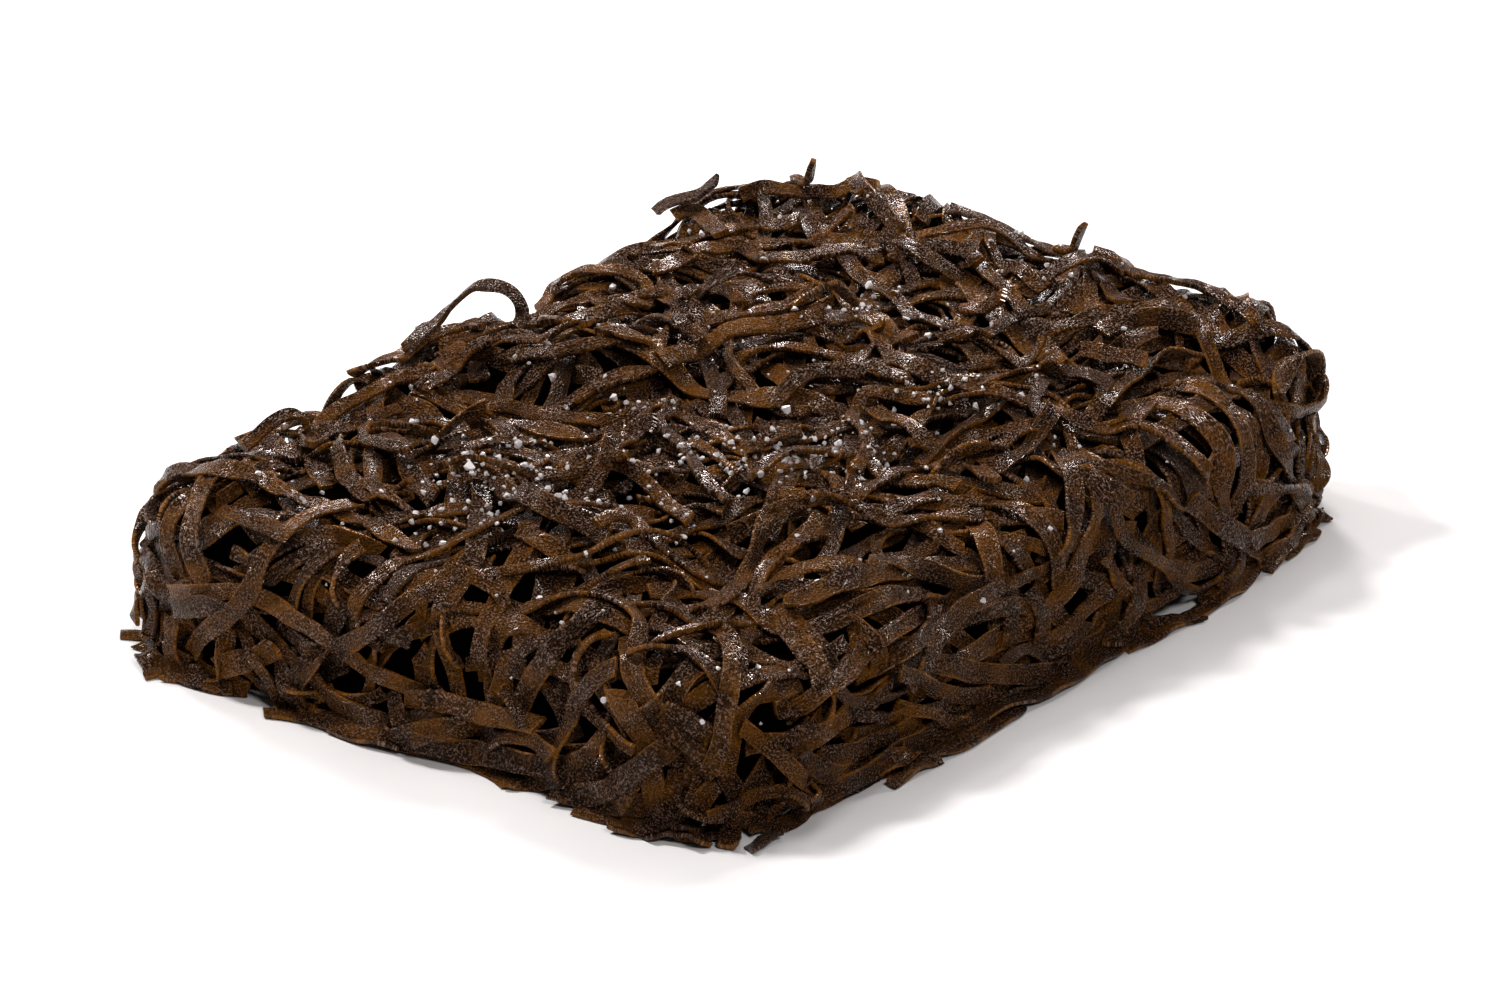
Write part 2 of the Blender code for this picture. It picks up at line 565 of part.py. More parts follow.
def spread(mound, straps):
    """Of the straps that lie near the top, those that cover the heap evenly."""
    left = []
    for strap in straps:
        buried = (mound.read(mound.height, strap.route) - strap.level).mean()
        if strap.rise.max() < 0.5 and buried < BED_BURIED:
            left.append(strap)
    crowd = [np.zeros(len(strap.route)) for strap in left]
    shown = []
    while left and len(shown) < BED_SHOWN:
        pick = int(np.argmin([near.mean() for near in crowd]))
        taken = left.pop(pick)
        crowd.pop(pick)
        shown.append(taken)
        for near, strap in zip(crowd, left):
            apart = np.linalg.norm(strap.route[:, None, :] - taken.route[None, ::3, :], axis=-1)
            near += np.exp(-(apart / BED_APART) ** 2).sum(1)
    return shown


def lower(mound, straps, level):
    """Lays straps down on the core, each over the ones before and no higher than it lay."""
    mound.height, heap = level.copy(), mound.height
    for strap in straps:
        high = strap.level
        strap.lay(mound, BED_BEND_R[0], -BED_ROOT, 1.0, 1)
        strap.level = np.minimum(strap.level, high)
        strap.stamp(mound)
    mound.height = heap


def core_rings(mound, level):
    """Outlines of the core, from its foot up over the side and in across the top."""
    shoulder, side, foot = side_arcs()
    walks = (foot, side + 2, (side + shoulder) / 2, shoulder - 4) + CORE_WALKS
    rings = []
    for walk in walks:
        spots = outline(walk)
        lifted = mound.lift(spots, mound.read(level, spots) * (walk < foot))
        rings.append(lifted)
    rings[0][:, 2] = 0
    return rings


def outline(walk):
    """Even points round the top's outline, moved out by a walk."""
    half, radius = TOP_HALF + walk, max(CORNER_R + walk, 0.01)
    straight = np.maximum(half - radius, 0.01)
    corners = []
    for k, (x, y) in enumerate(((1, 1), (-1, 1), (-1, -1), (1, -1))):
        turn = pi / 2 * (k + np.linspace(0, 1, 40))
        corners.append(straight * (x, y) + radius * np.stack([np.cos(turn), np.sin(turn)], -1))
    line = np.concatenate(corners + [corners[0][:1]])
    walked = np.concatenate([[0], np.cumsum(np.linalg.norm(np.diff(line, axis=0), axis=1))])
    steps = np.linspace(0, walked[-1], CORE_AROUND, endpoint=False)
    return np.stack([np.interp(steps, walked, line[:, k]) for k in (0, 1)], -1)


def make_core(mound, level, name, collection):
    bm = bmesh.new()
    rings = [[bm.verts.new(spot * MM) for spot in ring] for ring in core_rings(mound, level)]
    for one, two in zip(rings, rings[1:]):
        for k in range(CORE_AROUND):
            a, b = one[k], one[(k + 1) % CORE_AROUND]
            c, d = two[(k + 1) % CORE_AROUND], two[k]
            bm.faces.new((a, b, c))
            bm.faces.new((a, c, d))
    bm.faces.new(rings[0][::-1])
    bm.faces.new(rings[-1])
    bmesh.ops.recalc_face_normals(bm, faces=bm.faces)
    return add_object(name, bm, collection)


def add_object(name, bm, collection, material=None):
    mesh = bpy.data.meshes.new(name)
    bmesh.ops.triangulate(bm, faces=bm.faces)
    bm.to_mesh(mesh)
    bm.free()
    made = bpy.data.objects.new(name, mesh)
    collection.objects.link(made)
    if material:
        mesh.materials.append(material)
    return made


def new_material(name, color, roughness):
    material = bpy.data.materials.new(name)
    material.use_nodes = True
    shader = material.node_tree.nodes["Principled BSDF"]
    shader.inputs["Base Color"].default_value = color
    shader.inputs["Roughness"].default_value = roughness
    return material


def make_bed(mound, bed, collection, material):
    """The core with an even choice of the bed's straps fused to it."""
    level = core_level(mound)
    core = make_core(mound, level, "strap_bed", collection)
    core.data.materials.append(material)
    loose = bpy.data.collections.new("bed_straps")
    bpy.context.scene.collection.children.link(loose)
    shown = spread(mound, bed)
    lower(mound, shown, level)
    for number, strap in enumerate(shown):
        corners = sections(mound, strap, ring_places(strap, BED_RING), OBLONG)
        add_object("bed_strap_%d" % number, loft(corners), loose)
    union = core.modifiers.new("Union", "BOOLEAN")
    union.operation = "UNION"
    union.operand_type = "COLLECTION"
    union.collection = loose
    union.solver = "MANIFOLD"
    bpy.context.view_layer.update()
    fused = bpy.data.meshes.new_from_object(core.evaluated_get(bpy.context.evaluated_depsgraph_get()))
    core.modifiers.clear()
    core.data = fused
    keep_largest(fused)
    for strap in list(loose.objects):
        bpy.data.objects.remove(strap)
    bpy.data.collections.remove(loose)
    return core


def keep_largest(mesh):
    """Drops what the union left loose."""
    bm = bmesh.new()
    bm.from_mesh(mesh)
    left, islands = set(bm.verts), []
    while left:
        island, edge = set(), [left.pop()]
        while edge:
            vert = edge.pop()
            island.add(vert)
            near = [e.other_vert(vert) for e in vert.link_edges]
            edge += [other for other in near if other in left]
            left.difference_update(near)
        islands.append(island)
    islands.sort(key=len)
    for island in islands[:-1]:
        bmesh.ops.delete(bm, geom=list(island), context="VERTS")
    bmesh.ops.triangulate(bm, faces=bm.faces)
    bm.to_mesh(mesh)
    bm.free()


def make_grain(mound, rng, sighting, point, size, name, collection, material):
    """One rough crystal, lying on the highest strap below it."""
    bm = bmesh.new()
    bmesh.ops.create_icosphere(bm, subdivisions=1, radius=size / 2 * MM)
    for corner in bm.verts:
        corner.co = Vector([float(c) * f for c, f in zip(corner.co, rng.uniform(0.72, 1.15, 3))])
    spot = sighting.place(point)
    turn = np.linspace(0, 2 * pi, 12, endpoint=False)
    rim = spot + size * 0.55 * np.stack([np.cos(turn), np.sin(turn)], -1)
    inner = (rim + spot) / 2
    ground = mound.read(mound.height, np.concatenate([rim, inner, [spot]])).max()
    lowest = -min(corner.co.z for corner in bm.verts) / MM
    grain = add_object(name, bm, collection, material)
    grain.location = mound.lift(spot, np.array(ground + SALT_GAP + lowest)) * MM
    return grain


def clear_scene():
    for old in list(bpy.data.objects):
        bpy.data.objects.remove(old)


def main():
    clear_scene()
    rng = np.random.default_rng(SEED)
    collection = bpy.data.collections.new("sea_spaghetti")
    bpy.context.scene.collection.children.link(collection)
    weed = new_material("seaweed", WEED_COLOR, WEED_ROUGHNESS)
    salt = new_material("salt", SALT_COLOR, SALT_ROUGHNESS)
    mound = Mound(rng)
    bed = lay_bed(mound, rng)
    make_bed(mound, bed, collection, weed)
    tops = lay_tops(mound, rng)
    for number, strap in enumerate(tops, 1):
        corners = sections(mound, strap, ring_places(strap, TOP_RING), OBLONG)
        add_object("strap_%02d" % number, loft(corners), collection, weed)
    sighting = Sighting(mound)
    for number, (point, size) in enumerate(GRAINS.items(), 1):
        make_grain(mound, rng, sighting, point, size, "salt_%02d" % number, collection, salt)


main()
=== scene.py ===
"""The looks of a heap of cut, salted sea spaghetti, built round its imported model.

The straps are laid by the same rules and the same draws as in the part's own source, so each one
that is a node there gets its fine surface in the same place. The bed's other straps and the salt
are added here.
"""
from collections import namedtuple
from math import cos, pi, radians, sin

import bmesh
import bpy
import numpy as np
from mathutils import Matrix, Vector

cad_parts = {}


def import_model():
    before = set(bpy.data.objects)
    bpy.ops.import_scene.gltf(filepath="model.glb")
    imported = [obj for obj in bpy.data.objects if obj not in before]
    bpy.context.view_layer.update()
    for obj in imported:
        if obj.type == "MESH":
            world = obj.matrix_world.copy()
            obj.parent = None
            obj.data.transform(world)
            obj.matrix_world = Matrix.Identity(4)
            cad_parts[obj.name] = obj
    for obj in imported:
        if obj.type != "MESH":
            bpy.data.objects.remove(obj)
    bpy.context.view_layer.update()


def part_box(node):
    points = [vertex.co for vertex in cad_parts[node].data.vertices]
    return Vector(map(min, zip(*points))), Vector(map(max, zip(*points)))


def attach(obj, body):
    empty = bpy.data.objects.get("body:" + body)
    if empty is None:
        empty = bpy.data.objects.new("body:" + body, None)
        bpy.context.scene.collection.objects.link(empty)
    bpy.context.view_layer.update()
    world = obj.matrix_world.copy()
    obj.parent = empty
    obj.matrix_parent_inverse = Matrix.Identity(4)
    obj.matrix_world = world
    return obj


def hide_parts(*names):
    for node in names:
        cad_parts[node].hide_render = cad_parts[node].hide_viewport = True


MM = 0.001
SEED = 11
GRID = 0.6          # step of the height field
STEP = 1.0          # step along a strap

# The mound under the straps, in millimetres
TOP_HALF = np.array([123.0, 88.0])
CORNER_R = 21.0
SHOULDER_R = 9.0
SIDE_ANGLE = radians(83)
FOOT_R = 4.0
MOUND_H = 45.0
SKIRT = 12.0
RISE = 6.8          # how much higher the top is at its +X end than in the middle
SAG = 5.0           # how far it falls from its ridge to the long sides
RIDGE_Y = 12.0
SWELLS = ((95, 1.6), (62, 1.3), (45, 1.0), (33, 0.7))
OUTLINE_WAVES = ((150, 2.0), (80, 1.5), (48, 1.0))

MIDDLE = np.array([1.35, 0.2])     # moved by this, the heap stands centred on its origin

# The camera that took the picture, in the part's frame: millimetres, radians and pixels
EYE = np.array([-873.95, -683.7, 465.8])
HEADING = 0.6644
DIP = 0.3830
AHEAD = np.array([cos(HEADING), sin(HEADING)])
FOCAL_PX = 4642.5
PICTURE_MID = np.array([750.0, 500.0])

# The bed of straps, with the kinds that are mixed in it: share, width, thickness, bend per
# millimetre, turn on edge in degrees, usual length and its spread
Kind = namedtuple("Kind", "share width thick bend turn length spread")
KINDS = (
    Kind(0.40, (4.4, 6.0), (1.1, 1.5), 0.014, 28, 42, 0.40),
    Kind(0.28, (2.8, 4.0), (1.2, 1.6), 0.034, 55, 34, 0.45),
    Kind(0.32, (3.6, 5.4), (1.1, 1.5), 0.018, 38, 22, 0.30),
)
BED_COUNT = 1050
LIVELY_FROM = 620             # from this strap on, ends kick up and middles arch
LIVELY_INSIDE = 2.0           # only where they keep off the heap's steep sides
BED_TRIES = 7
BED_PRESS = (0.6, 0.75)       # how firmly the first and the lively straps hold up what lies on them
BED_BEND_R = (13.0, 15.0)
LENGTH_RANGE = (12, 150)
LINE_BLUR = 3.0               # how much the line that a strap takes over bumps is evened
OVERHANG = 6.0                # how far a strap may run out past the heap's foot
FLIP_SHARE = 0.22             # how many straps turn over on edge somewhere
SINK_SHARE = 0.7              # how many ends go in under the others, how deep and over what length
SINK_DEPTH = (2.0, 4.5)
SINK_RUN = (7, 16)
KICK_SHARE = 0.4              # how many of the lively straps kick up an end, and by how much
KICK_RISE = (1.5, 6.0)
ARCH_SHARE = 0.3              # how many of them arch, and by how much
ARCH_RISE = (1.5, 4.5)
STAMP_RISE = 1.5              # what stands off by more holds up nothing

TOP_GAP = 0.1        # how far a top strap keeps off what it lies on
TOP_BEND_R = 13.0    # the tightest bend that it takes over bumps
TOP_FIRM = 5         # how many times it is lifted off what it still touches
TOP_THICK = 2.2      # thickness of a narrow top strap, and how much of its width comes off that
TOP_THIN = 0.1
FLOOR_GAP = 0.3      # how far every strap keeps off the floor
STAND_LEAN = 2.5     # how far the tip of an upright strap leans to the eye
LEG_STEP = 0.03      # least share of an arch's span from one of its points to the next
SIGHT_REST = 3.7     # how high over the bed's evened top a picture point is looked for
ROUTE_BLUR = 2.5     # how much a top strap's route is evened
PIXEL_MM = 0.26      # what a picture point measures at the heap
FOOT = 6.0           # how far a strap that ends in the air lies on the heap behind it

# The straps that show whole on the top, in the order they lie: width in millimetres, lean to the
# eye in degrees, the picture points they run through and their rise over what lies below
Top = namedtuple("Top", "width lean at rise", defaults=(None,))
TOPS = (
    Top(5.1, 18, [(652, 264), (672, 261), (695, 250), (720, 243), (745, 240), (780, 247), (820, 251),
        (880, 254)]),
    Top(5.1, 14, [(675, 215), (692, 211), (706, 218), (722, 234)]),
    Top(4.7, 18, [(742, 200), (790, 190), (820, 186), (850, 183), (875, 181)]),
    Top(4.7, 7, [(855, 183), (870, 200), (885, 213), (898, 224)]),
    Top(5.1, 21, [(818, 235), (850, 237), (904, 238)]),
    Top(4.3, 21, [(892, 258), (908, 250), (930, 246), (958, 252), (978, 259)]),
    Top(4.7, 18, [(950, 202), (1000, 212), (1040, 222), (1085, 243)]),
    Top(4.7, 4, [(1085, 250), (1100, 270), (1113, 286), (1122, 295)]),
    Top(5.1, 20, [(1092, 257), (1116, 252), (1138, 250)]),
    Top(3.5, 14, [(1130, 268), (1160, 268), (1190, 272), (1215, 285), (1235, 298), (1255, 315)]),
    Top(3.9, 10, [(1070, 307), (1110, 310), (1140, 307), (1190, 306)]),
    Top(6.2, 22, [(1102, 328), (1140, 326), (1170, 321), (1202, 322)]),
    Top(3.9, 14, [(1000, 263), (1015, 261), (1030, 272), (1045, 290)]),
    Top(3.1, 10, [(940, 340), (970, 335), (1000, 322), (1020, 310), (1048, 306)]),
    Top(4.7, 20, [(1080, 345), (1100, 355), (1145, 358)]),
    Top(3.5, 14, [(1112, 381), (1090, 372), (1060, 372), (1035, 385), (1035, 400), (1045, 415)]),
    Top(3.9, 18, [(698, 307), (722, 311), (760, 306), (790, 298), (810, 292)]),
    Top(4.3, 15, [(780, 390), (820, 378), (860, 365), (880, 355)]),
    Top(4.3, 18, [(866, 362), (886, 367), (908, 372)]),
    Top(5.1, 24, [(665, 357), (700, 345), (740, 333), (780, 323), (810, 316), (850, 314), (880, 320),
        (910, 330)]),
    Top(3.5, 18, [(740, 295), (725, 288), (705, 284), (685, 290), (675, 300), (678, 315), (690, 330),
        (700, 345)]),
    Top(3.5, 10, [(930, 395), (900, 393), (880, 392), (862, 398), (853, 410), (862, 422), (870, 432),
        (865, 448), (857, 462)]),
    Top(3.9, 14, [(755, 478), (752, 455), (765, 438), (780, 430), (800, 427)]),
    Top(4.3, 18, [(730, 530), (760, 512), (800, 500), (850, 488)]),
    Top(3.5, 14, [(535, 295), (560, 267), (585, 262), (605, 268), (640, 272), (650, 285), (640, 298),
        (620, 305), (600, 308), (585, 316)]),
    Top(4.7, 20, [(598, 320), (613, 319), (630, 325), (650, 335)]),
    Top(3.9, 14, [(505, 352), (530, 352), (550, 350), (592, 352)]),
    Top(3.9, 18, [(497, 402), (520, 408), (545, 412), (600, 415), (650, 408), (678, 392)]),
    Top(3.5, 4, [(672, 400), (660, 425), (680, 450), (700, 470), (730, 498)]),
    Top(5.9, 27, [(455, 478), (500, 492), (540, 508), (580, 520), (610, 535)]),
    Top(5.5, 22, [(576, 454), (598, 447), (620, 439), (640, 433), (656, 428)]),
    Top(3.9, 7, [(614, 458), (631, 471), (645, 485), (660, 498), (690, 515)]),
    Top(3.5, 18, [(600, 534), (612, 522), (626, 515), (638, 512), (649, 521)]),
    Top(3.1, 6, [(440, 478), (490, 473), (560, 474), (600, 470), (625, 462)]),
    Top(3.9, 14, [(303, 438), (318, 420), (335, 405), (355, 397), (380, 385), (400, 373), (425, 370)]),
    Top(4.3, 15, [(345, 365), (375, 358), (405, 345), (430, 328), (455, 318), (480, 316)]),
    Top(3.1, 10, [(395, 400), (372, 412), (360, 425), (360, 437), (375, 440), (395, 445), (405, 452)]),
    Top(3.9, 14, [(420, 388), (440, 375), (460, 362), (475, 352), (492, 343)]),
    Top(3.1, 4, [(790, 315), (800, 300), (815, 285), (825, 278), (835, 285), (855, 308)],
        (0, 2, 4, 5, 4, 0)),
    Top(3.7, 45, [(405, 350), (422, 337), (440, 322), (458, 297), (476, 280), (495, 272), (512, 275),
        (523, 285), (529, 297), (524, 318), (518, 332)], (0, 0, 0, 5, 7.5, 8.5, 8.5, 7.5, 5, 0, 0)),
    Top(3.5, 40, [(244, 446), (250, 434), (262, 412), (275, 405), (290, 406), (300, 412), (308, 434),
        (312, 446)], (0, 0, 4, 6, 6, 4, 0, 0)),
    Top(2.6, 0, [(804, 192), (810, 154)], (0, 12)),
    Top(3.7, 40, [(690, 210), (717, 187)], (0, 7)),
    Top(3.9, 0, [(1070, 242), (1076, 217)], (0, 7)),
    Top(3.9, 14, [(980, 308), (1000, 277)], (0, 6)),
)

# The larger grains of salt: picture points and sizes in millimetres
GRAINS = {(470, 470): 4.0, (785, 410): 4.2, (553, 380): 3.2, (612, 396): 3.0, (520, 440): 3.4,
          (568, 500): 3.2, (700, 225): 3.0, (797, 318): 3.0, (870, 286): 3.2, (905, 312): 3.0,
          (840, 450): 3.4, (1048, 267): 3.0, (975, 402): 3.2, (437, 447): 3.0}

# How fine the surfaces are, in millimetres along a strap
BED_RING = 1.8
TOP_RING = 1.2
UNDER_RING = 4.5
LEAST_RINGS = 4      # how many stretches the shortest strap is cut into
CORE_CELL = 8        # how many steps of the height field make one face of the core

BED_PIECES = 4       # how many pieces the bed's straps are dealt out to
BURIED = 6.0         # a strap that lies this deep all along isn't seen

# The share of the straps painted grey as a sheen, standing for the light that some straps reflect
BED_SHEEN = 0.07
TOP_SHEEN = 0.1

# The underside, pressed flat: how many straps, how deep they go, how far in from the foot they
# stay, how much they turn on edge and how firmly they hold each other off
UNDER_COUNT = 640
UNDER_DEEP = 5.0
UNDER_INSET = 3.0
UNDER_TURN = 0.3
UNDER_PRESS = 0.3
CORE_UP = 6.0        # how far up the sides the dark core starts

# The grains of salt that are only seen: how many, their sizes, and where they crowd
GRAIN_COUNT = 1000
GRAIN_SIZES = (0.9, 2.6)
GRAIN_SHRINK = (0.6, 1.0)
GRAIN_SINK = 0.5     # how far a small grain is pressed into the straps under it
GRAIN_DOWN = 26.0    # none is tried further down the sides than this
GRAIN_THIN = (6, 16) # from how far down the sides they get fewer, and over what length they end
CROWD_SHARE = 0.55   # how many of them are in the crowds, and how far these spread
CROWD_SPREAD = 9.0
CROWDED = [(462, 468), (490, 445), (520, 430), (545, 455), (640, 490), (700, 440), (745, 440), (800, 425),
           (850, 435), (905, 400), (860, 290), (620, 400)]

# A grain's shape: how many points its hull goes round, how far it is stretched each way and how
# far in from the ball its points lie, how far out its foot is felt and how high its middle lies,
# in parts of its size, and how large it is beside its solid's size
GRAIN_POINTS = 16
GRAIN_STRETCH = (0.7, 1.15)
GRAIN_BROKEN = (0.8, 1.0)
GRAIN_FOOT = 0.35
GRAIN_MIDDLE = 0.3
CRYSTAL_PART = 0.82

# The straps' section, going round: across and through, in parts of the width and thickness
SECTION = np.array([(-0.50, 0.0), (-0.487, 0.31), (-0.450, 0.46), (-0.20, 0.50), (0.20, 0.50),
                    (0.450, 0.46), (0.487, 0.31), (0.50, 0.0), (0.487, -0.31), (0.450, -0.46),
                    (0.20, -0.50), (-0.20, -0.50), (-0.450, -0.46), (-0.487, -0.31)])
THINNER = 0.85       # how thin a strap's fine surface is beside its solid

# The straps' faces: how much they are cupped, for a strap this wide, then the height and the
# lengths of each of their waves, and how much oftener and lower the edges curl than the face waves
CUP = (-0.3, 1.2)
CUP_WIDTH = 5
FACE_WAVES = ((0.12, (10, 18)), (0.05, (5, 8)))
CURL_OFTENER = 1.3
CURL_PART = 0.6
SLANT = 0.6          # how slanting the ends are cut, and how far in the slant fades
SLANT_RUN = 2.0
TIP_RUN = 0.8        # how far in from its end a strap counts as edge
SHARP = radians(70)  # an edge that turns by more isn't smoothed

# The straps' colours
DEEP_BROWN = (0.022, 0.0074, 0.0006, 1)
WARM_BROWN = (0.190, 0.068, 0.0040, 1)
# Painted light: amber standing for light shining through the straps' thin edges and tips
EDGE_GLOW = (0.300, 0.115, 0.010, 1)
# Painted shade: near black that a strap takes the deeper it lies under others
SHADED = (0.008, 0.0024, 0.0004, 1)
# Painted sheen: grey standing for the greyish reflection off some straps
PAINTED_SHEEN = (0.050, 0.034, 0.026, 1)
# Painted highlights: pale pink flecks standing for the wet glints on the bumps
GLINT_FLECK = (0.450, 0.290, 0.220, 1)

# The straps' skin: how many bumps and ripples to a millimetre and patches to a metre, how high
# the bumps are in metres and the ripples in parts of that, and how far apart in the noise two
# straps' patterns lie
PEBBLE = 1.9
RIPPLE_OFTEN = 0.5
PATCH = 110.0
PATCH_DETAIL = 3.0
PATCH_ROUGH = 0.6
RELIEF = 0.0024
RIPPLE = 0.5
STRAPS_APART = 40.0

# How much a strap's own tone, the patches and the bumps each change how warm its brown is, and
# from where to where that leads from the deep brown to the warm one
WARM_TONE = 0.5
WARM_PATCH = 2.2
WARM_BUMP = 0.8
WARMTH = (-0.1, 1.0)

# What each further colour comes with: from where to where it sets in on the edges, the patches,
# the bumps or the depth, in some also the least and the most of it, and how strong it is in all
# The first is painted light: an amber glow standing for light shining through thin edges
GLOW_EDGE = (0.80, 1.0)
GLOW_PATCH = (0.40, 0.60)
GLOW_PART = 0.6
# Painted sheen: where over the bumps the grey sets in, and the least and most of it
SHEEN_BUMP = (0.35, 0.65, 0.3, 1.0)
# Painted highlights: the glint flecks on the bump tops, in patches, and their strength
GLINT_BUMP = (0.52, 0.63)
GLINT_PATCH = (0.60, 0.40, 0.35, 1.0)
GLINT_STRENGTH = 0.48
# Painted shade: how deep under the others a strap starts and ends darkening, and how far
SHADED_DEEP = (1.5, 6.0, 0.0, 0.85)

# The wet gloss: its roughness over the patches, its strength and its tint
GLOSS_PATCH = (0.35, 0.65)
GLOSS = (0.10, 0.22)
SHINE = 0.25
SHINE_TINT = (1.0, 0.76, 0.66, 1)

# The salt: its colours and how many clouds and bumps to a metre, and its gloss and clearness
SALT_WHITE = (0.93, 0.90, 0.90, 1)
SALT_BRIGHT = (1.0, 0.99, 0.98, 1)
SALT_CLOUD = 500.0
SALT_BUMP = 1200.0
SALT_RELIEF = 0.0003
SALT_BUMP_PART = 0.5
SALT_ROUGH = 0.06
SALT_IOR = 1.54
SALT_CLEAR = 0.30

# The dark within the heap: painted shade, a near-black body standing for the shaded straps deep inside
WITHIN_DARK = (0.0004, 0.0003, 0.0002, 1)
WITHIN_PALE = (0.0016, 0.0008, 0.0004, 1)
WITHIN_CLOUD = 300.0
WITHIN_ROUGH = 0.8

# The studio: the sky's strength, and each lamp's place, size and power, all aimed at one point
SKY = 0.02
SKY_COLOR = (1, 1, 1, 1)
LAMP_AIM = (0, 0, 0.03)
LAMP_COLOR = (1.0, 0.93, 0.91)
LAMPS = (("key", (-0.25, 0.75, 1.10), 0.20, 13.0),
         ("fill", (-0.55, -0.90, 0.95), 0.30, 6.0),
         ("back", (0.95, 0.75, 0.50), 0.15, 6.0),
         ("back_left", (0.20, 1.20, 0.60), 0.15, 6.0),
         ("back_right", (1.20, -0.10, 0.60), 0.15, 6.0),
         ("back_high", (0.65, 0.50, 1.10), 0.20, 4.0),
         ("overhead", (0.15, 0.25, 1.50), 1.00, 6.0))
FLOOR = (0.90, 0.93, 0.94, 1)
FLOOR_ROUGH = 0.9
FLOOR_SIZE = 4.0

LENS = 111.4
SENSOR = 36


class Mound:
    """The smooth body that the straps lie on, with the height field of what lies there."""

    def __init__(self, rng):
        reach = TOP_HALF + skirt_start() + SKIRT
        self.count = np.ceil(2 * reach / GRID).astype(int) + 1
        self.low = -(self.count - 1) * GRID / 2
        u, v = (self.low[k] + GRID * np.arange(self.count[k]) for k in (0, 1))
        u, v = np.meshgrid(u, v, indexing="ij")
        self.down, out_x, out_y = distance_outside(u, v)
        walk = np.maximum(self.down, 0)
        top_x, top_y = u - out_x * walk, v - out_y * walk
        run, drop = side_profile(walk)
        x, y = top_x + out_x * run, top_y + out_y * run
        bulge = waves(rng, OUTLINE_WAVES, x, y) * np.clip(walk / 10, 0, 1)
        x, y = x + out_x * bulge, y + out_y * bulge
        crown = MOUND_H + RISE * top_x / TOP_HALF[0] - SAG * ((top_y - RIDGE_Y) / TOP_HALF[1]) ** 2
        crown += waves(rng, SWELLS, top_x, top_y) + waves(rng, SWELLS, top_y, top_x)
        high = np.maximum(crown * (1 - drop / MOUND_H), 0)
        self.skin = np.stack([x - MIDDLE[0], y - MIDDLE[1], high], -1)
        self.out = outward(self.skin)
        self.height = np.zeros(self.count)

    def read(self, field, places):
        """A field's value at (u, v) places, between its four nearest points."""
        at = np.clip((places - self.low) / GRID, 0, self.count - 1.001)
        cell = at.astype(int)
        part = at - cell
        a, b = cell[..., 0], cell[..., 1]
        fa, fb = part[..., 0], part[..., 1]
        if field.ndim == 3:
            fa, fb = fa[..., None], fb[..., None]
        near = field[a, b] * (1 - fa) + field[a + 1, b] * fa
        far = field[a, b + 1] * (1 - fa) + field[a + 1, b + 1] * fa
        return near * (1 - fb) + far * fb

    def lift(self, places, heights):
        """(u, v) places and heights off the skin as x, y, z."""
        return self.read(self.skin, places) + heights[..., None] * self.read(self.out, places)


def side_arcs():
    """Walks to the end of the shoulder, of the straight side and of the foot."""
    turned = 1 - cos(SIDE_ANGLE)
    shoulder = SHOULDER_R * SIDE_ANGLE
    straight = (MOUND_H - (SHOULDER_R + FOOT_R) * turned) / sin(SIDE_ANGLE)
    return shoulder, shoulder + straight, shoulder + straight + FOOT_R * SIDE_ANGLE


def skirt_start():
    return side_arcs()[2]


def side_profile(walk):
    """How far out and how far down a walk over the edge of the top leads."""
    shoulder, side, foot = side_arcs()
    turn = np.clip(walk, 0, shoulder) / SHOULDER_R
    straight = np.clip(walk - shoulder, 0, side - shoulder)
    left = SIDE_ANGLE - np.clip(walk - side, 0, foot - side) / FOOT_R
    run = SHOULDER_R * np.sin(turn) + straight * cos(SIDE_ANGLE)
    run += FOOT_R * (sin(SIDE_ANGLE) - np.sin(left)) + np.maximum(walk - foot, 0)
    drop = SHOULDER_R * (1 - np.cos(turn)) + straight * sin(SIDE_ANGLE)
    drop += FOOT_R * (np.cos(left) - cos(SIDE_ANGLE))
    return run, drop


def distance_outside(u, v):
    """Distance past the top's rounded outline, and the direction straight out of it."""
    past_u = np.abs(u) - (TOP_HALF[0] - CORNER_R)
    past_v = np.abs(v) - (TOP_HALF[1] - CORNER_R)
    corner_u, corner_v = np.maximum(past_u, 0), np.maximum(past_v, 0)
    outer = np.hypot(corner_u, corner_v)
    down = outer + np.minimum(np.maximum(past_u, past_v), 0) - CORNER_R
    safe = np.maximum(outer, 1e-9)
    return down, corner_u / safe * np.sign(u), corner_v / safe * np.sign(v)


def waves(rng, kinds, x, y):
    """A smooth uneven surface: one sine for each (length, height), in a drawn direction."""
    total = np.zeros_like(x)
    for length, height in kinds:
        way, start = rng.uniform(0, 2 * pi, 2)
        total += height * np.sin(2 * pi / length * (x * cos(way) + y * sin(way)) + start)
    return total


def outward(skin):
    """Directions off the skin, evened out so that heights over a bend fan out."""
    out = np.cross(np.gradient(skin, axis=0), np.gradient(skin, axis=1))
    out /= np.linalg.norm(out, axis=-1, keepdims=True)
    for _ in range(10):
        wide = np.pad(out, ((3, 3), (3, 3), (0, 0)), "edge")
        out = wide[6:, 3:-3] + wide[:-6, 3:-3] + wide[3:-3, 6:] + wide[3:-3, :-6] + 2 * out
    return out / np.linalg.norm(out, axis=-1, keepdims=True)


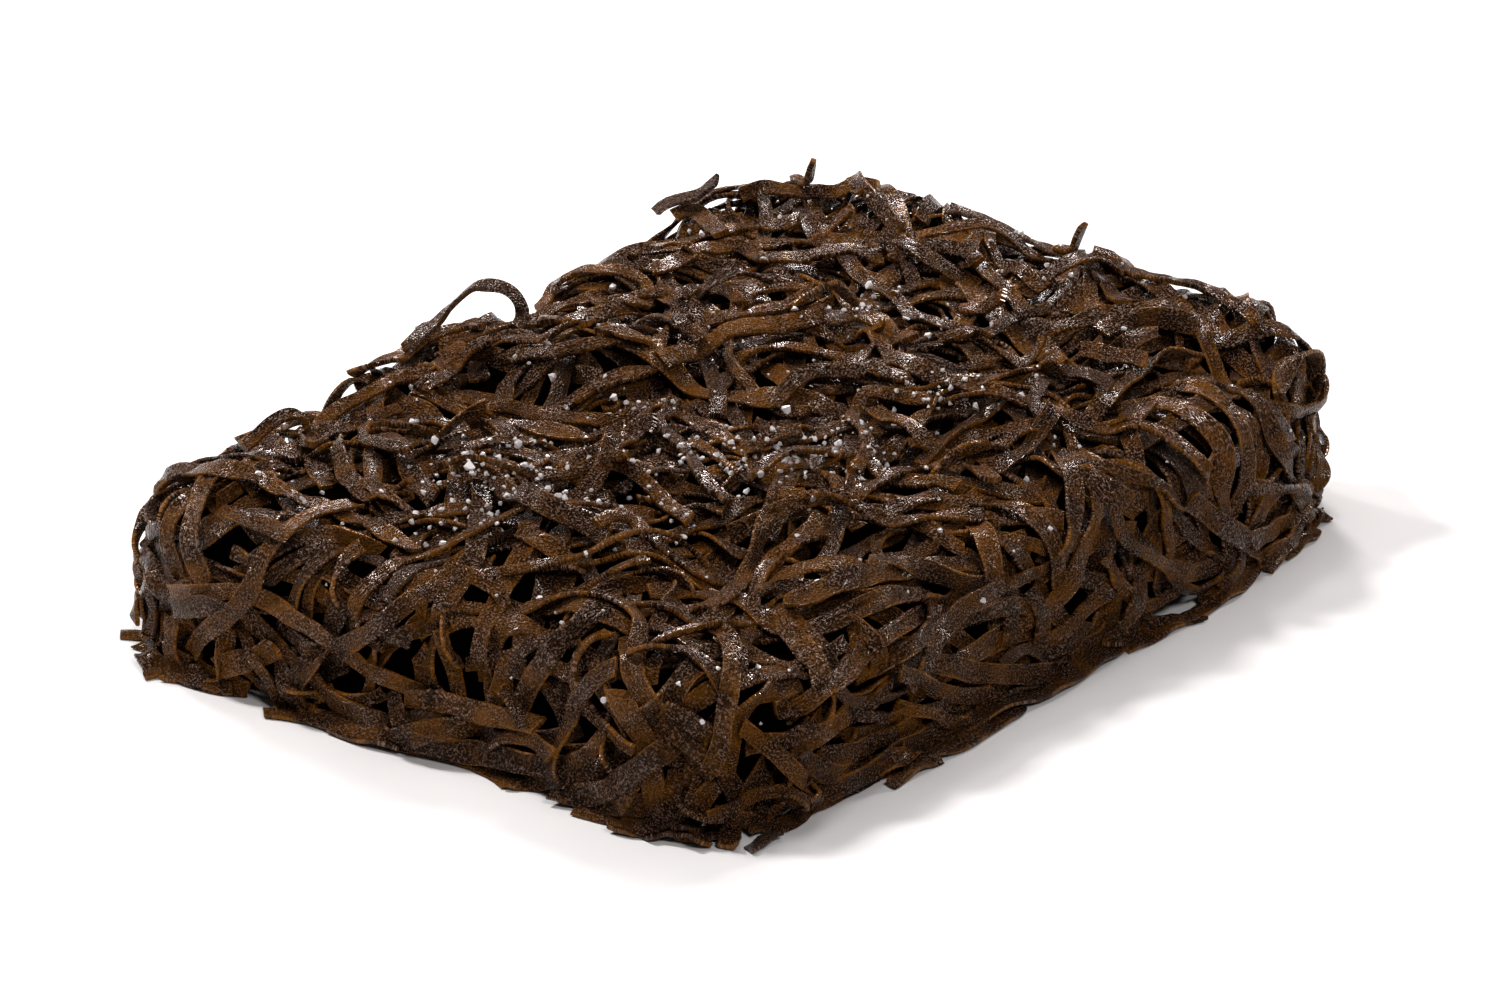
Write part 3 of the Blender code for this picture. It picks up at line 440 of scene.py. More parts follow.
class Strap:
    """One cut strap: its route, and its width, thickness and turn along it."""

    def __init__(self, route, rise, width, thick, turn):
        self.route, self.rise = route, rise
        self.width, self.thick, self.turn = width, thick, turn
        self.along = np.arange(len(route)) * STEP
        way = np.gradient(route, axis=0)
        way /= np.maximum(np.linalg.norm(way, axis=1, keepdims=True), 1e-6)
        self.side = np.stack([-way[:, 1], way[:, 0]], -1)

    def lay(self, mound, bend_r, gap, press, firm):
        """Drapes the strap over what lies there. A press below 1 lets it sink in a little."""
        across = self.width[:, None] * np.linspace(-0.5, 0.5, 7)
        flat = mound.read(mound.height, self.spots(across))
        slope = (flat[:, -2:].mean(1) - flat[:, :2].mean(1)) / (0.8 * self.width)
        self.turn = self.turn + 0.8 * np.arctan(smooth(slope, 5.0)) * np.cos(self.turn)
        reach, lean = np.cos(self.turn)[:, None], np.sin(self.turn)[:, None]
        under = mound.read(mound.height, self.spots(across * reach)) - across * lean
        under = np.sort(under, axis=1)
        need = press * under[:, -1] + (1 - press) * under[:, 3]
        need += self.thick / 2 * np.abs(reach[:, 0]) + gap
        height = smooth(drape(need, self.along, bend_r), LINE_BLUR)
        for _ in range(firm):
            lack = drape(np.maximum(need - height, 0), self.along, 6.0)
            height = height + 0.8 * np.maximum(smooth(lack, 1.5), 0)
        self.level = height + self.rise

    def spots(self, across):
        return self.route[:, None, :] + across[..., None] * self.side[:, None, :]

    def bury(self, depths):
        """Sinks each end along its last stretch, as if it went in under the others."""
        self.sunk = np.zeros(len(self.route))
        for end, (deep, run) in zip((self.along, self.along[-1] - self.along), depths):
            self.sunk = np.maximum(self.sunk, deep * np.clip(1 - end / run, 0, 1) ** 1.5)
        self.level = np.maximum(self.level - self.sunk, self.thick / 2)

    def stamp(self, mound):
        """Adds the strap's top to the height field."""
        fine = np.arange(0, self.along[-1], GRID * 0.8)
        route, side = rows(self.route, fine), rows(self.side, fine)
        width, turn, level = rows(self.width, fine), rows(self.turn, fine), rows(self.level, fine)
        across = width[:, None] * np.linspace(-0.5, 0.5, int(self.width.max() / 0.4) + 2)
        reach, lean = np.cos(turn)[:, None], np.sin(turn)[:, None]
        spots = route[:, None, :] + (across * reach)[..., None] * side[:, None, :]
        top = level[:, None] + across * lean + self.thick / 2 * np.abs(reach)
        shown = (rows(self.sunk, fine) < 1.0) & (rows(self.rise, fine) < STAMP_RISE)
        cell = np.clip(np.round((spots[shown] - mound.low) / GRID).astype(int), 0, mound.count - 1)
        np.maximum.at(mound.height, (cell[..., 0], cell[..., 1]), top[shown])


def rows(values, places):
    """Values along a strap, read between its steps."""
    at = np.asarray(places) / STEP
    cell = np.minimum(at.astype(int), len(values) - 2)
    part = at - cell
    if values.ndim == 2:
        part = part[:, None]
    return values[cell] * (1 - part) + values[cell + 1] * part


def smooth(values, sigma):
    """A Gaussian blur along a strap that keeps straight runs straight at its ends."""
    reach = min(int(3 * sigma), len(values) - 1)
    weight = np.exp(-0.5 * (np.arange(-reach, reach + 1) / sigma) ** 2)
    before = 2 * values[0] - values[reach:0:-1]
    after = 2 * values[-1] - values[-2:-reach - 2:-1]
    return np.convolve(np.concatenate([before, values, after]), weight / weight.sum(), "valid")


def drape(need, along, bend_r):
    """The lowest line over the heights needed that bends no tighter than the radius."""
    apart = along[:, None] - along[None, :]
    return (need[None, :] - apart ** 2 / (2 * bend_r)).max(1)


def draw_route(rng, kind, length):
    """A wandering route about the origin, in the kind's own bends."""
    along = np.arange(0, length, STEP)
    bend = rng.normal() * kind.bend
    for wave, part in ((rng.uniform(18, 60), 1.8), (rng.uniform(8, 14), 2.2)):
        size = rng.uniform(0, part) * kind.bend
        bend = bend + size * np.sin(2 * pi * along / wave + rng.uniform(0, 2 * pi))
    way = rng.uniform(0, 2 * pi) + np.cumsum(bend) * STEP
    route = np.cumsum(np.stack([np.cos(way), np.sin(way)], -1), 0) * STEP
    return route - route.mean(0), bend


def draw_place(mound, rng, kind, length):
    """Of a few draws, the route over the lowest ground."""
    best, found = None, None
    while found is None:
        for _ in range(BED_TRIES):
            middle = rng.uniform(mound.low, -mound.low)
            route, bend = draw_route(rng, kind, length)
            route = route + middle
            outside = mound.read(mound.down, route).max() - skirt_start()
            if outside > OVERHANG:
                continue
            ground = mound.read(mound.height, route)
            score = ground.mean() + 0.25 * ground.max() + 0.25 * max(outside + 2, 0)
            if best is None or score < best:
                best, found = score, (route, bend)
    return found


def draw_turn(rng, kind, along, bend):
    """How far the strap turns on edge: in its bends, by a slow wave and here and there by more."""
    curl = np.tanh(18 * smooth(bend, 4.0)) * rng.uniform(0.4, 1.0)
    turn = radians(kind.turn) * curl
    for wave in (rng.uniform(20, 50), rng.uniform(11, 26)):
        turn += radians(rng.uniform(2, 12)) * np.sin(2 * pi * along / wave + rng.uniform(0, 2 * pi))
    middle, reach = along[-1] * rng.uniform(0.2, 0.8), rng.uniform(5, 10)
    flip = radians(rng.uniform(40, 80)) * rng.choice([-1, 1]) * (rng.random() < FLIP_SHARE)
    return turn + flip * np.exp(-((along - middle) / reach) ** 2)


def draw_rise(rng, along):
    """How far a strap stands off the others: at an end that kicks up, or where it arches."""
    kick = rng.uniform(*KICK_RISE) * (rng.random() < KICK_SHARE)
    rise = kick * np.clip(1 - along / rng.uniform(9, 17), 0, 1) ** 1.4
    arch = rng.uniform(*ARCH_RISE) * (rng.random() < ARCH_SHARE)
    middle, reach = along[-1] * rng.uniform(0.3, 0.7), rng.uniform(12, 22)
    return rise + arch * np.clip(1 - ((along - middle) / reach) ** 2, 0, 1) ** 2


def lay_bed(mound, rng):
    """The many straps of the heap, from the mound outward."""
    straps = []
    shares = np.cumsum([kind.share for kind in KINDS])
    for number in range(BED_COUNT):
        kind = KINDS[int(np.searchsorted(shares, rng.random()))]
        length = np.clip(kind.length * np.exp(kind.spread * rng.normal()), *LENGTH_RANGE)
        route, bend = draw_place(mound, rng, kind, length)
        along = np.arange(len(route)) * STEP
        turn = draw_turn(rng, kind, along, bend)
        swell = 1 + 0.06 * np.sin(2 * pi * along / rng.uniform(14, 34) + rng.uniform(0, 6))
        width = rng.uniform(*kind.width) * swell
        lively = int(number >= LIVELY_FROM)
        inside = mound.read(mound.down, route).max() < LIVELY_INSIDE
        rise = draw_rise(rng, along) * lively * inside
        strap = Strap(route, rise, width, rng.uniform(*kind.thick), turn)
        strap.lay(mound, BED_BEND_R[lively], 0.05, BED_PRESS[lively], 1)
        first = rng.uniform(*SINK_DEPTH) * (rng.random() < SINK_SHARE) * (rise[0] < 0.5)
        last = rng.uniform(*SINK_DEPTH) * (rng.random() < SINK_SHARE)
        strap.bury(((first, rng.uniform(*SINK_RUN)), (last, rng.uniform(*SINK_RUN))))
        strap.stamp(mound)
        straps.append(strap)
    return straps


class Sighting:
    """Finds the place on the heap that each picture point shows."""

    def __init__(self, mound):
        self.mound = mound
        ahead = np.array([cos(HEADING) * cos(DIP), sin(HEADING) * cos(DIP), -sin(DIP)])
        right = np.array([sin(HEADING), -cos(HEADING), 0.0])
        self.frame = np.stack([right, np.cross(right, ahead), ahead])
        self.skin = mound.skin[::2, ::2]
        self.out = mound.out[::2, ::2]
        self.level = even(mound.height, 8)[::2, ::2] + SIGHT_REST

    def across(self, pixels):
        """The way in plan that a run of picture points to the right stands for."""
        return pixels * PIXEL_MM * np.array([AHEAD[1], -AHEAD[0]])

    def place(self, point):
        """The (u, v) seen at a picture point."""
        spots = self.skin + self.level[..., None] * self.out - EYE
        seen = spots @ self.frame.T
        flat = seen[..., :2] / seen[..., 2:] * FOCAL_PX * (1, -1) + PICTURE_MID
        facing = (self.out * spots).sum(-1) < 0
        miss = np.hypot(*(np.moveaxis(flat, -1, 0) - np.array(point)[:, None, None]))
        miss = np.where(facing, miss, 1e9)
        near = np.where(miss < max(6.0, miss.min() + 0.5), seen[..., 2] + 2 * miss, 1e9)
        at = np.unravel_index(near.argmin(), near.shape)
        return self.mound.low + 2 * GRID * np.array(at)


def even(field, reach):
    """A field blurred over a few grid steps."""
    for _ in range(reach):
        wide = np.pad(field, 1, "edge")
        field = (wide[2:, 1:-1] + wide[:-2, 1:-1] + wide[1:-1, 2:] + wide[1:-1, :-2] + wide[1:-1, 1:-1]) / 5
    return field


def thread(points):
    """A smooth line through points, with an even step."""
    points = np.asarray(points, float)
    ends = 2 * points[[0, -1]] - points[[1, -2]]
    knots = np.concatenate([ends[:1], points, ends[1:]])
    line = []
    for k in range(len(points) - 1):
        a, b, c, d = knots[k:k + 4]
        t = np.linspace(0, 1, 24, endpoint=False)[:, None]
        line.append(0.5 * (2 * b + (c - a) * t + (2 * a - 5 * b + 4 * c - d) * t ** 2
                           + (3 * b - a - 3 * c + d) * t ** 3))
    line = np.concatenate(line + [points[-1:]])
    walk = np.concatenate([[0], np.cumsum(np.linalg.norm(np.diff(line, axis=0), axis=1))])
    steps = np.linspace(0, walk[-1], max(int(round(walk[-1] / STEP)), 6) + 1)
    return np.stack([np.interp(steps, walk, line[:, k]) for k in range(line.shape[1])], -1)


def trace(sighting, top):
    """A top strap's points: u, v and rise. An arch stands over the line between its feet, and a
    strap that ends in the air lies on the heap up to its foot."""
    rises = np.array(top.rise or [0.0] * len(top.at), float)
    spots = np.array([(*sighting.place(point), rise) for point, rise in zip(top.at, rises)])
    raised = np.flatnonzero(rises)
    if len(raised) == 0:
        return spots
    first, last = raised[0] - 1, raised[-1] + 1
    if last < len(spots):
        run = np.array(top.at, float)[first:last + 1, 0]
        part = np.maximum.accumulate((run - run[0]) / (run[-1] - run[0]))
        part += LEG_STEP * np.arange(len(part))
        line = (part / part[-1])[:, None] * (spots[last] - spots[first])
        spots[first:last + 1, :2] = (spots[first] + line)[:, :2]
        return spots
    foot = spots[first]
    tip = foot + (*(sighting.across(top.at[-1][0] - top.at[first][0]) - STAND_LEAN * AHEAD), rises[-1])
    way = (tip - foot) * (1, 1, 0)
    way /= np.linalg.norm(way)
    knee = foot + (tip - foot) * (0.4, 0.4, 0.3)
    return np.array([foot - FOOT * way, foot - 0.4 * FOOT * way, foot, knee, tip])


def lay_tops(mound, rng):
    """The straps that show whole, where the picture shows them."""
    straps = []
    sighting = Sighting(mound)
    for top in TOPS:
        line = thread(trace(sighting, top))
        if len(line) > 15:
            line = np.stack([smooth(column, ROUTE_BLUR) for column in line.T], -1)
        along = np.arange(len(line)) * STEP
        width = top.width * (1 + 0.05 * np.sin(2 * pi * along / rng.uniform(16, 30) + rng.uniform(0, 6)))
        thick = TOP_THICK - TOP_THIN * top.width
        strap = Strap(line[:, :2], np.maximum(line[:, 2], 0), width, thick, 0)
        sway = radians(rng.uniform(4, 12)) * np.sin(2 * pi * along / rng.uniform(20, 44) + rng.uniform(0, 6))
        strap.turn = radians(top.lean) * smooth(strap.side @ AHEAD, 3.0) + sway
        strap.lay(mound, TOP_BEND_R, TOP_GAP, 1.0, TOP_FIRM)
        strap.bury(((0, 1), (0, 1)))
        strap.stamp(mound)
        straps.append(strap)
    return straps


def sections(mound, strap, places, rng):
    """The strap's cross-sections at places along it, square to its run, with cupped waved faces."""
    line = mound.lift(strap.route, strap.level)
    run = np.gradient(line, axis=0)
    run /= np.linalg.norm(run, axis=1, keepdims=True)
    side = mound.lift(strap.route + strap.side, strap.level) - line
    side -= (side * run).sum(1, keepdims=True) * run
    side /= np.linalg.norm(side, axis=1, keepdims=True)
    up = np.cross(run, side)
    line, side, up, run = (rows(values, places) for values in (line, side, up, run))
    turn, width = rows(strap.turn, places), rows(strap.width, places)
    reach, lean = np.cos(turn)[:, None], np.sin(turn)[:, None]
    across, through = side * reach + up * lean, up * reach - side * lean
    length = places[-1]
    out = width[:, None] * SECTION[:, 0]
    off = THINNER * strap.thick * SECTION[:, 1] * np.ones_like(out)
    cup = rng.uniform(*CUP) * strap.width.mean() / CUP_WIDTH
    aside = 2 * SECTION[:, 0]
    wave = 0
    drawn = [(size, rng.uniform(*lengths)) for size, lengths in FACE_WAVES]
    for size, every in drawn:
        wave = wave + size * np.sin(2 * pi * places / every + rng.uniform(0, 6))[:, None] * aside
        curl = np.sin(2 * pi * places / every * CURL_OFTENER + rng.uniform(0, 6))[:, None]
        wave = wave + size * CURL_PART * curl * aside ** 2
    off = off + cup * aside ** 2 + wave
    cuts = rng.uniform(-SLANT, SLANT, 2)
    slant = cuts[0] * np.exp(-places / SLANT_RUN) + cuts[1] * np.exp(-(length - places) / SLANT_RUN)
    spots = (line[:, None, :] + out[..., None] * across[:, None, :] + off[..., None] * through[:, None, :]
             + (slant[:, None] * out)[..., None] * run[:, None, :])
    spots[..., 2] = np.maximum(spots[..., 2], FLOOR_GAP)
    return spots


def add_object(name, data):
    """Puts a mesh, lamp or camera into the scene."""
    made = bpy.data.objects.new(name, data)
    bpy.context.scene.collection.objects.link(made)
    return made


class Shell:
    """A mesh gathered from straps. Each point keeps where it lies on its strap and how deep."""

    FACTS = ("tone", "sheen_flag", "edge", "across", "along", "deep")

    def __init__(self):
        self.spots, self.faces, self.facts, self.count = [], [], [], 0

    def add(self, spots, strap, places, tone, sheen_flag, deep):
        rings, around = spots.shape[:2]
        index = self.count + np.arange(rings * around).reshape(rings, around)
        here, after = index[:-1], index[1:]
        turned, turned_after = np.roll(here, -1, 1), np.roll(after, -1, 1)
        self.faces += np.stack([here, after, turned_after, turned], -1).reshape(-1, 4).tolist()
        self.faces += [index[0].tolist(), index[-1][::-1].tolist()]
        edge = np.abs(SECTION[:, 0] * 2)[None, :] * np.ones(rings)[:, None]
        tip = np.exp(-np.minimum(places, places[-1] - places) / TIP_RUN)[:, None]
        across = SECTION[:, 0][None, :] * strap.width.mean() * np.ones(rings)[:, None]
        along = places[:, None] * np.ones(around)[None, :]
        deep = deep[:, None] * np.ones(around)[None, :]
        tone, sheen_flag = np.full_like(edge, tone), np.full_like(edge, sheen_flag)
        facts = np.stack([tone, sheen_flag, np.maximum(edge, tip), across, along, deep], -1)
        self.facts.append(facts.reshape(-1, len(self.FACTS)))
        self.spots.append(spots.reshape(-1, 3))
        self.count += rings * around

    def finish(self, name, material):
        mesh = bpy.data.meshes.new(name)
        spots = np.concatenate(self.spots) * MM
        mesh.from_pydata(spots.tolist(), [], self.faces)
        facts = np.concatenate(self.facts)
        for column, kind in enumerate(self.FACTS):
            layer = mesh.attributes.new(kind, "FLOAT", "POINT")
            layer.data.foreach_set("value", facts[:, column].astype(np.float32))
        mesh.shade_smooth()
        mesh.set_sharp_from_angle(angle=SHARP)
        mesh.materials.append(material)
        return add_object(name, mesh)


def ring_places(strap, step):
    length = strap.along[-1]
    return np.linspace(0, length, max(int(round(length / step)), LEAST_RINGS) + 1)


class Nodes:
    """Short ways to add and join a material's nodes."""

    def __init__(self, name):
        self.material = bpy.data.materials.new(name)
        self.material.use_nodes = True
        self.tree = self.material.node_tree
        self.shader = self.tree.nodes["Principled BSDF"]

    def add(self, kind, **settings):
        node = self.tree.nodes.new(kind)
        for key, value in settings.items():
            if hasattr(node, key):
                setattr(node, key, value)
            else:
                node.inputs[key.replace("_", " ")].default_value = value
        return node

    def join(self, out, into):
        self.tree.links.new(out, into)

    def fact(self, name):
        return self.add("ShaderNodeAttribute", attribute_name=name).outputs["Fac"]

    def feed(self, value, slot):
        """Sets a socket to a number or colour, or joins another node's output to it."""
        if isinstance(value, (int, float, tuple)):
            slot.default_value = value
        else:
            self.join(value, slot)

    def math(self, operation, a, b):
        node = self.add("ShaderNodeMath", operation=operation)
        self.feed(a, node.inputs[0])
        self.feed(b, node.inputs[1])
        return node.outputs[0]

    def ramp(self, value, low, high, out_low=0.0, out_high=1.0):
        node = self.add("ShaderNodeMapRange", interpolation_type="SMOOTHSTEP")
        self.join(value, node.inputs[0])
        for slot, number in zip(node.inputs[1:5], (low, high, out_low, out_high)):
            slot.default_value = number
        return node.outputs[0]

    def mix(self, part, a, b):
        node = self.add("ShaderNodeMix", data_type="RGBA")
        for number, value in ((0, part), (6, a), (7, b)):
            self.feed(value, node.inputs[number])
        return node.outputs[2]

    def noise(self, where, scale, detail=2.0, rough=0.5):
        node = self.add("ShaderNodeTexNoise", Scale=scale, Detail=detail, Roughness=rough)
        self.join(where, node.inputs["Vector"])
        return node.outputs["Fac"]

    def place(self):
        return self.add("ShaderNodeTexCoord").outputs["Object"]

    def share(self, value, part):
        """How far a value is from one half, times a part."""
        return self.math("MULTIPLY", self.math("SUBTRACT", value, 0.5), part)

    def color(self, out):
        self.join(out, self.shader.inputs["Base Color"])

    def bump(self, height, strength, distance):
        node = self.add("ShaderNodeBump", Strength=strength, Distance=distance)
        self.join(height, node.inputs["Height"])
        self.join(node.outputs[0], self.shader.inputs["Normal"])

    def plain(self, **numbers):
        """Sets what is the same all over the surface on the shader itself."""
        for name, number in numbers.items():
            self.shader.inputs[name.replace("_", " ")].default_value = number


def weed_material():
    n = Nodes("seaweed")
    place = n.place()
    tone, sheen_flag, edge = n.fact("tone"), n.fact("sheen_flag"), n.fact("edge")
    strip = n.add("ShaderNodeCombineXYZ")
    n.join(n.fact("along"), strip.inputs[0])
    n.join(n.fact("across"), strip.inputs[1])
    n.join(n.math("MULTIPLY", tone, STRAPS_APART), strip.inputs[2])
    pebble = n.noise(strip.outputs[0], PEBBLE, 1.0)
    ripple = n.noise(strip.outputs[0], RIPPLE_OFTEN, 1.0)
    patch = n.noise(place, PATCH, PATCH_DETAIL, PATCH_ROUGH)
    warm = n.math("ADD", n.math("MULTIPLY", tone, WARM_TONE), n.share(patch, WARM_PATCH))
    warm = n.math("ADD", warm, n.share(pebble, WARM_BUMP))
    body = n.mix(n.ramp(warm, *WARMTH), DEEP_BROWN, WARM_BROWN)
    # Painted light: amber on thin edges and tips, in some patches, standing for light shining through them
    thin = n.math("MULTIPLY", n.ramp(edge, *GLOW_EDGE), n.ramp(patch, *GLOW_PATCH))
    body = n.mix(n.math("MULTIPLY", thin, GLOW_PART), body, EDGE_GLOW)
    # Painted sheen: some straps greyed over their bumps, standing for the light they reflect
    body = n.mix(n.math("MULTIPLY", sheen_flag, n.ramp(pebble, *SHEEN_BUMP)), body, PAINTED_SHEEN)
    # Painted highlights: pale flecks on the bump tops, in patches, standing for wet glints
    salted = n.math("MULTIPLY", n.ramp(pebble, *GLINT_BUMP), n.ramp(patch, *GLINT_PATCH))
    body = n.mix(n.math("MULTIPLY", salted, GLINT_STRENGTH), body, GLINT_FLECK)
    # Painted shade: the deeper a strap lies under others, the nearer its colour goes to near black
    n.color(n.mix(n.ramp(n.fact("deep"), *SHADED_DEEP), body, SHADED))
    n.join(n.ramp(patch, *GLOSS_PATCH, *GLOSS), n.shader.inputs["Roughness"])
    n.bump(n.math("ADD", pebble, n.math("MULTIPLY", ripple, RIPPLE)), 1.0, RELIEF)
    n.plain(Specular_IOR_Level=SHINE, Specular_Tint=SHINE_TINT)
    return n.material


def salt_material():
    n = Nodes("salt")
    place = n.place()
    n.color(n.mix(n.noise(place, SALT_CLOUD), SALT_WHITE, SALT_BRIGHT))
    n.plain(Roughness=SALT_ROUGH, IOR=SALT_IOR, Transmission_Weight=SALT_CLEAR)
    n.bump(n.noise(place, SALT_BUMP), SALT_BUMP_PART, SALT_RELIEF)
    return n.material


def core_material():
    n = Nodes("shade_within")
    # Painted shade: near black without gloss, standing for the shaded inside of the heap
    n.color(n.mix(n.noise(n.place(), WITHIN_CLOUD), WITHIN_DARK, WITHIN_PALE))
    n.plain(Roughness=WITHIN_ROUGH, Specular_IOR_Level=0.0)
    return n.material


def grain_mesh(bm, rng, middle, size):
    """One broken crystal: the hull of a few points about a stretched ball."""
    stretch = rng.uniform(*GRAIN_STRETCH, 3)
    spots = rng.normal(size=(GRAIN_POINTS, 3))
    spots *= (rng.uniform(*GRAIN_BROKEN, GRAIN_POINTS) / np.linalg.norm(spots, axis=1))[:, None]
    verts = [bm.verts.new(spot) for spot in middle + spots * stretch * size / 2]
    hull = bmesh.ops.convex_hull(bm, input=verts, use_existing_faces=False)
    inside = [vert for vert in verts if vert in set(hull["geom_unused"] + hull["geom_interior"])]
    bmesh.ops.delete(bm, geom=inside, context="VERTS")


def grain_spot(mound, spot, size):
    """Where a small grain's middle is when it lies in the straps under it."""
    turn = np.linspace(0, 2 * pi, 8, endpoint=False)
    rim = spot + size * GRAIN_FOOT * np.stack([np.cos(turn), np.sin(turn)], -1)
    ground = mound.read(mound.height, np.concatenate([rim, [spot]]))
    height = ground.mean() / 2 + ground.max() / 2 - GRAIN_SINK + size * GRAIN_MIDDLE
    return mound.lift(spot, np.array(height))


def make_grains(mound, rng, sighting, material):
    bm = bmesh.new()
    crowds = [sighting.place(point) for point in CROWDED]
    count = 0
    while count < GRAIN_COUNT:
        if rng.random() < CROWD_SHARE:
            spot = crowds[rng.integers(len(crowds))] + rng.normal(size=2) * CROWD_SPREAD
        else:
            spot = rng.uniform(mound.low, -mound.low)
        down = mound.read(mound.down, spot)
        if down > GRAIN_DOWN or rng.random() < (down - GRAIN_THIN[0]) / GRAIN_THIN[1]:
            continue
        size = rng.uniform(*GRAIN_SIZES) * rng.uniform(*GRAIN_SHRINK)
        grain_mesh(bm, rng, grain_spot(mound, spot, size) * MM, size * MM)
        count += 1
    mesh = bpy.data.meshes.new("salt_grains")
    bm.to_mesh(mesh)
    bm.free()
    mesh.materials.append(material)
    made = add_object("salt_grains", mesh)
    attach(made, "root")


def make_big_grains(rng, material):
    for number, size in enumerate(GRAINS.values(), 1):
        node = "salt_%02d" % number
        low, high = (np.array(corner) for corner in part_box(node))
        bm = bmesh.new()
        grain_mesh(bm, rng, (low + high) / 2, size * CRYSTAL_PART * MM)
        mesh = bpy.data.meshes.new("crystal_%02d" % number)
        bm.to_mesh(mesh)
        bm.free()
        mesh.materials.append(material)
        made = add_object("crystal_%02d" % number, mesh)
        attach(made, "root")
        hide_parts(node)


def make_core(mound, material):
    """A closed body under the bed's straps, so that no light comes through from below, painted near black as
    the shade deep in the heap.
    """
    skin, down = (field[::CORE_CELL, ::CORE_CELL] for field in (mound.skin, mound.down))
    count = skin.shape[:2]
    index = np.arange(count[0] * count[1]).reshape(count)
    faces = np.stack([index[:-1, :-1], index[1:, :-1], index[1:, 1:], index[:-1, 1:]], -1)
    keep = down[:-1, :-1] < skirt_start() - CORE_UP
    mesh = bpy.data.meshes.new("core")
    mesh.from_pydata((skin.reshape(-1, 3) * MM).tolist(), [], faces[keep].reshape(-1, 4).tolist())
    bm = bmesh.new()
    bm.from_mesh(mesh)
    bmesh.ops.delete(bm, geom=[vert for vert in bm.verts if not vert.link_faces], context="VERTS")
    rim = [edge for edge in bm.edges if edge.is_boundary]
    for edge in rim:
        for vert in edge.verts:
            vert.co.z = UNDER_DEEP * MM
    bmesh.ops.edgeloop_fill(bm, edges=rim)
    bmesh.ops.recalc_face_normals(bm, faces=bm.faces)
    bmesh.ops.triangulate(bm, faces=bm.faces)
    bm.to_mesh(mesh)
    bm.free()
    mesh.materials.append(material)
    mesh.shade_smooth()
    made = add_object("core", mesh)
    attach(made, "root")


class Underside(Mound):
    """The heap's flat bottom as a field of its own, with its heights measured down."""

    def __init__(self, mound):
        self.count, self.low = mound.count, mound.low
        u, v = (self.low[k] + GRID * np.arange(self.count[k]) for k in (0, 1))
        u, v = np.meshgrid(u, v, indexing="ij")
        self.down = distance_outside(u, v)[0] - side_profile(skirt_start())[0] + skirt_start()
        self.down += OVERHANG + UNDER_INSET
        self.skin = np.stack([-u - MIDDLE[0], v - MIDDLE[1], np.full_like(u, UNDER_DEEP)], -1)
        self.out = np.zeros_like(self.skin)
        self.out[..., 2] = -1
        self.height = np.zeros(self.count)


def lay_underside(under, rng):
    """Straps pressed flat by what lies on them."""
    straps = []
    for number in range(UNDER_COUNT):
        kind = KINDS[number % len(KINDS)]
        length = np.clip(kind.length * np.exp(kind.spread * rng.normal()), *LENGTH_RANGE)
        route, bend = draw_place(under, rng, kind, length)
        along = np.arange(len(route)) * STEP
        turn = UNDER_TURN * draw_turn(rng, kind, along, bend)
        width = rng.uniform(*kind.width) * np.ones(len(route))
        strap = Strap(route, np.zeros(len(route)), width, rng.uniform(*kind.thick), turn)
        strap.lay(under, BED_BEND_R[0], 0.0, UNDER_PRESS, 0)
        strap.bury(((0, 1), (0, 1)))
        strap.level = np.minimum(strap.level, UNDER_DEEP - FLOOR_GAP - strap.thick / 2)
        strap.stamp(under)
        straps.append(strap)
    return straps


def dress(mound, strap, step, rng, shell, sheen_share):
    """Adds a strap's fine surface to a shell."""
    places = ring_places(strap, step)
    tone, sheen_flag = rng.random(), float(rng.random() < sheen_share)
    deep = rows(mound.read(mound.height, strap.route) - strap.level, places)
    shell.add(sections(mound, strap, places, rng), strap, places, tone, sheen_flag, deep)


def dress_straps(mound, bed, tops, rng, material):
    seen = [strap for strap in bed if (mound.read(mound.height, strap.route) - strap.level).min() < BURIED]
    shells = [Shell() for _ in range(BED_PIECES)]
    for number, strap in enumerate(seen):
        dress(mound, strap, BED_RING, rng, shells[number % BED_PIECES], BED_SHEEN)
    for number, shell in enumerate(shells):
        piece = shell.finish("bed_straps_%d" % number, material)
        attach(piece, "root")
        if number == 0:
            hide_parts("strap_bed")
    for number, strap in enumerate(tops, 1):
        shell = Shell()
        dress(mound, strap, TOP_RING, rng, shell, TOP_SHEEN)
        piece = shell.finish("top_strap_%02d" % number, material)
        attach(piece, "root")
        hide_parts("strap_%02d" % number)


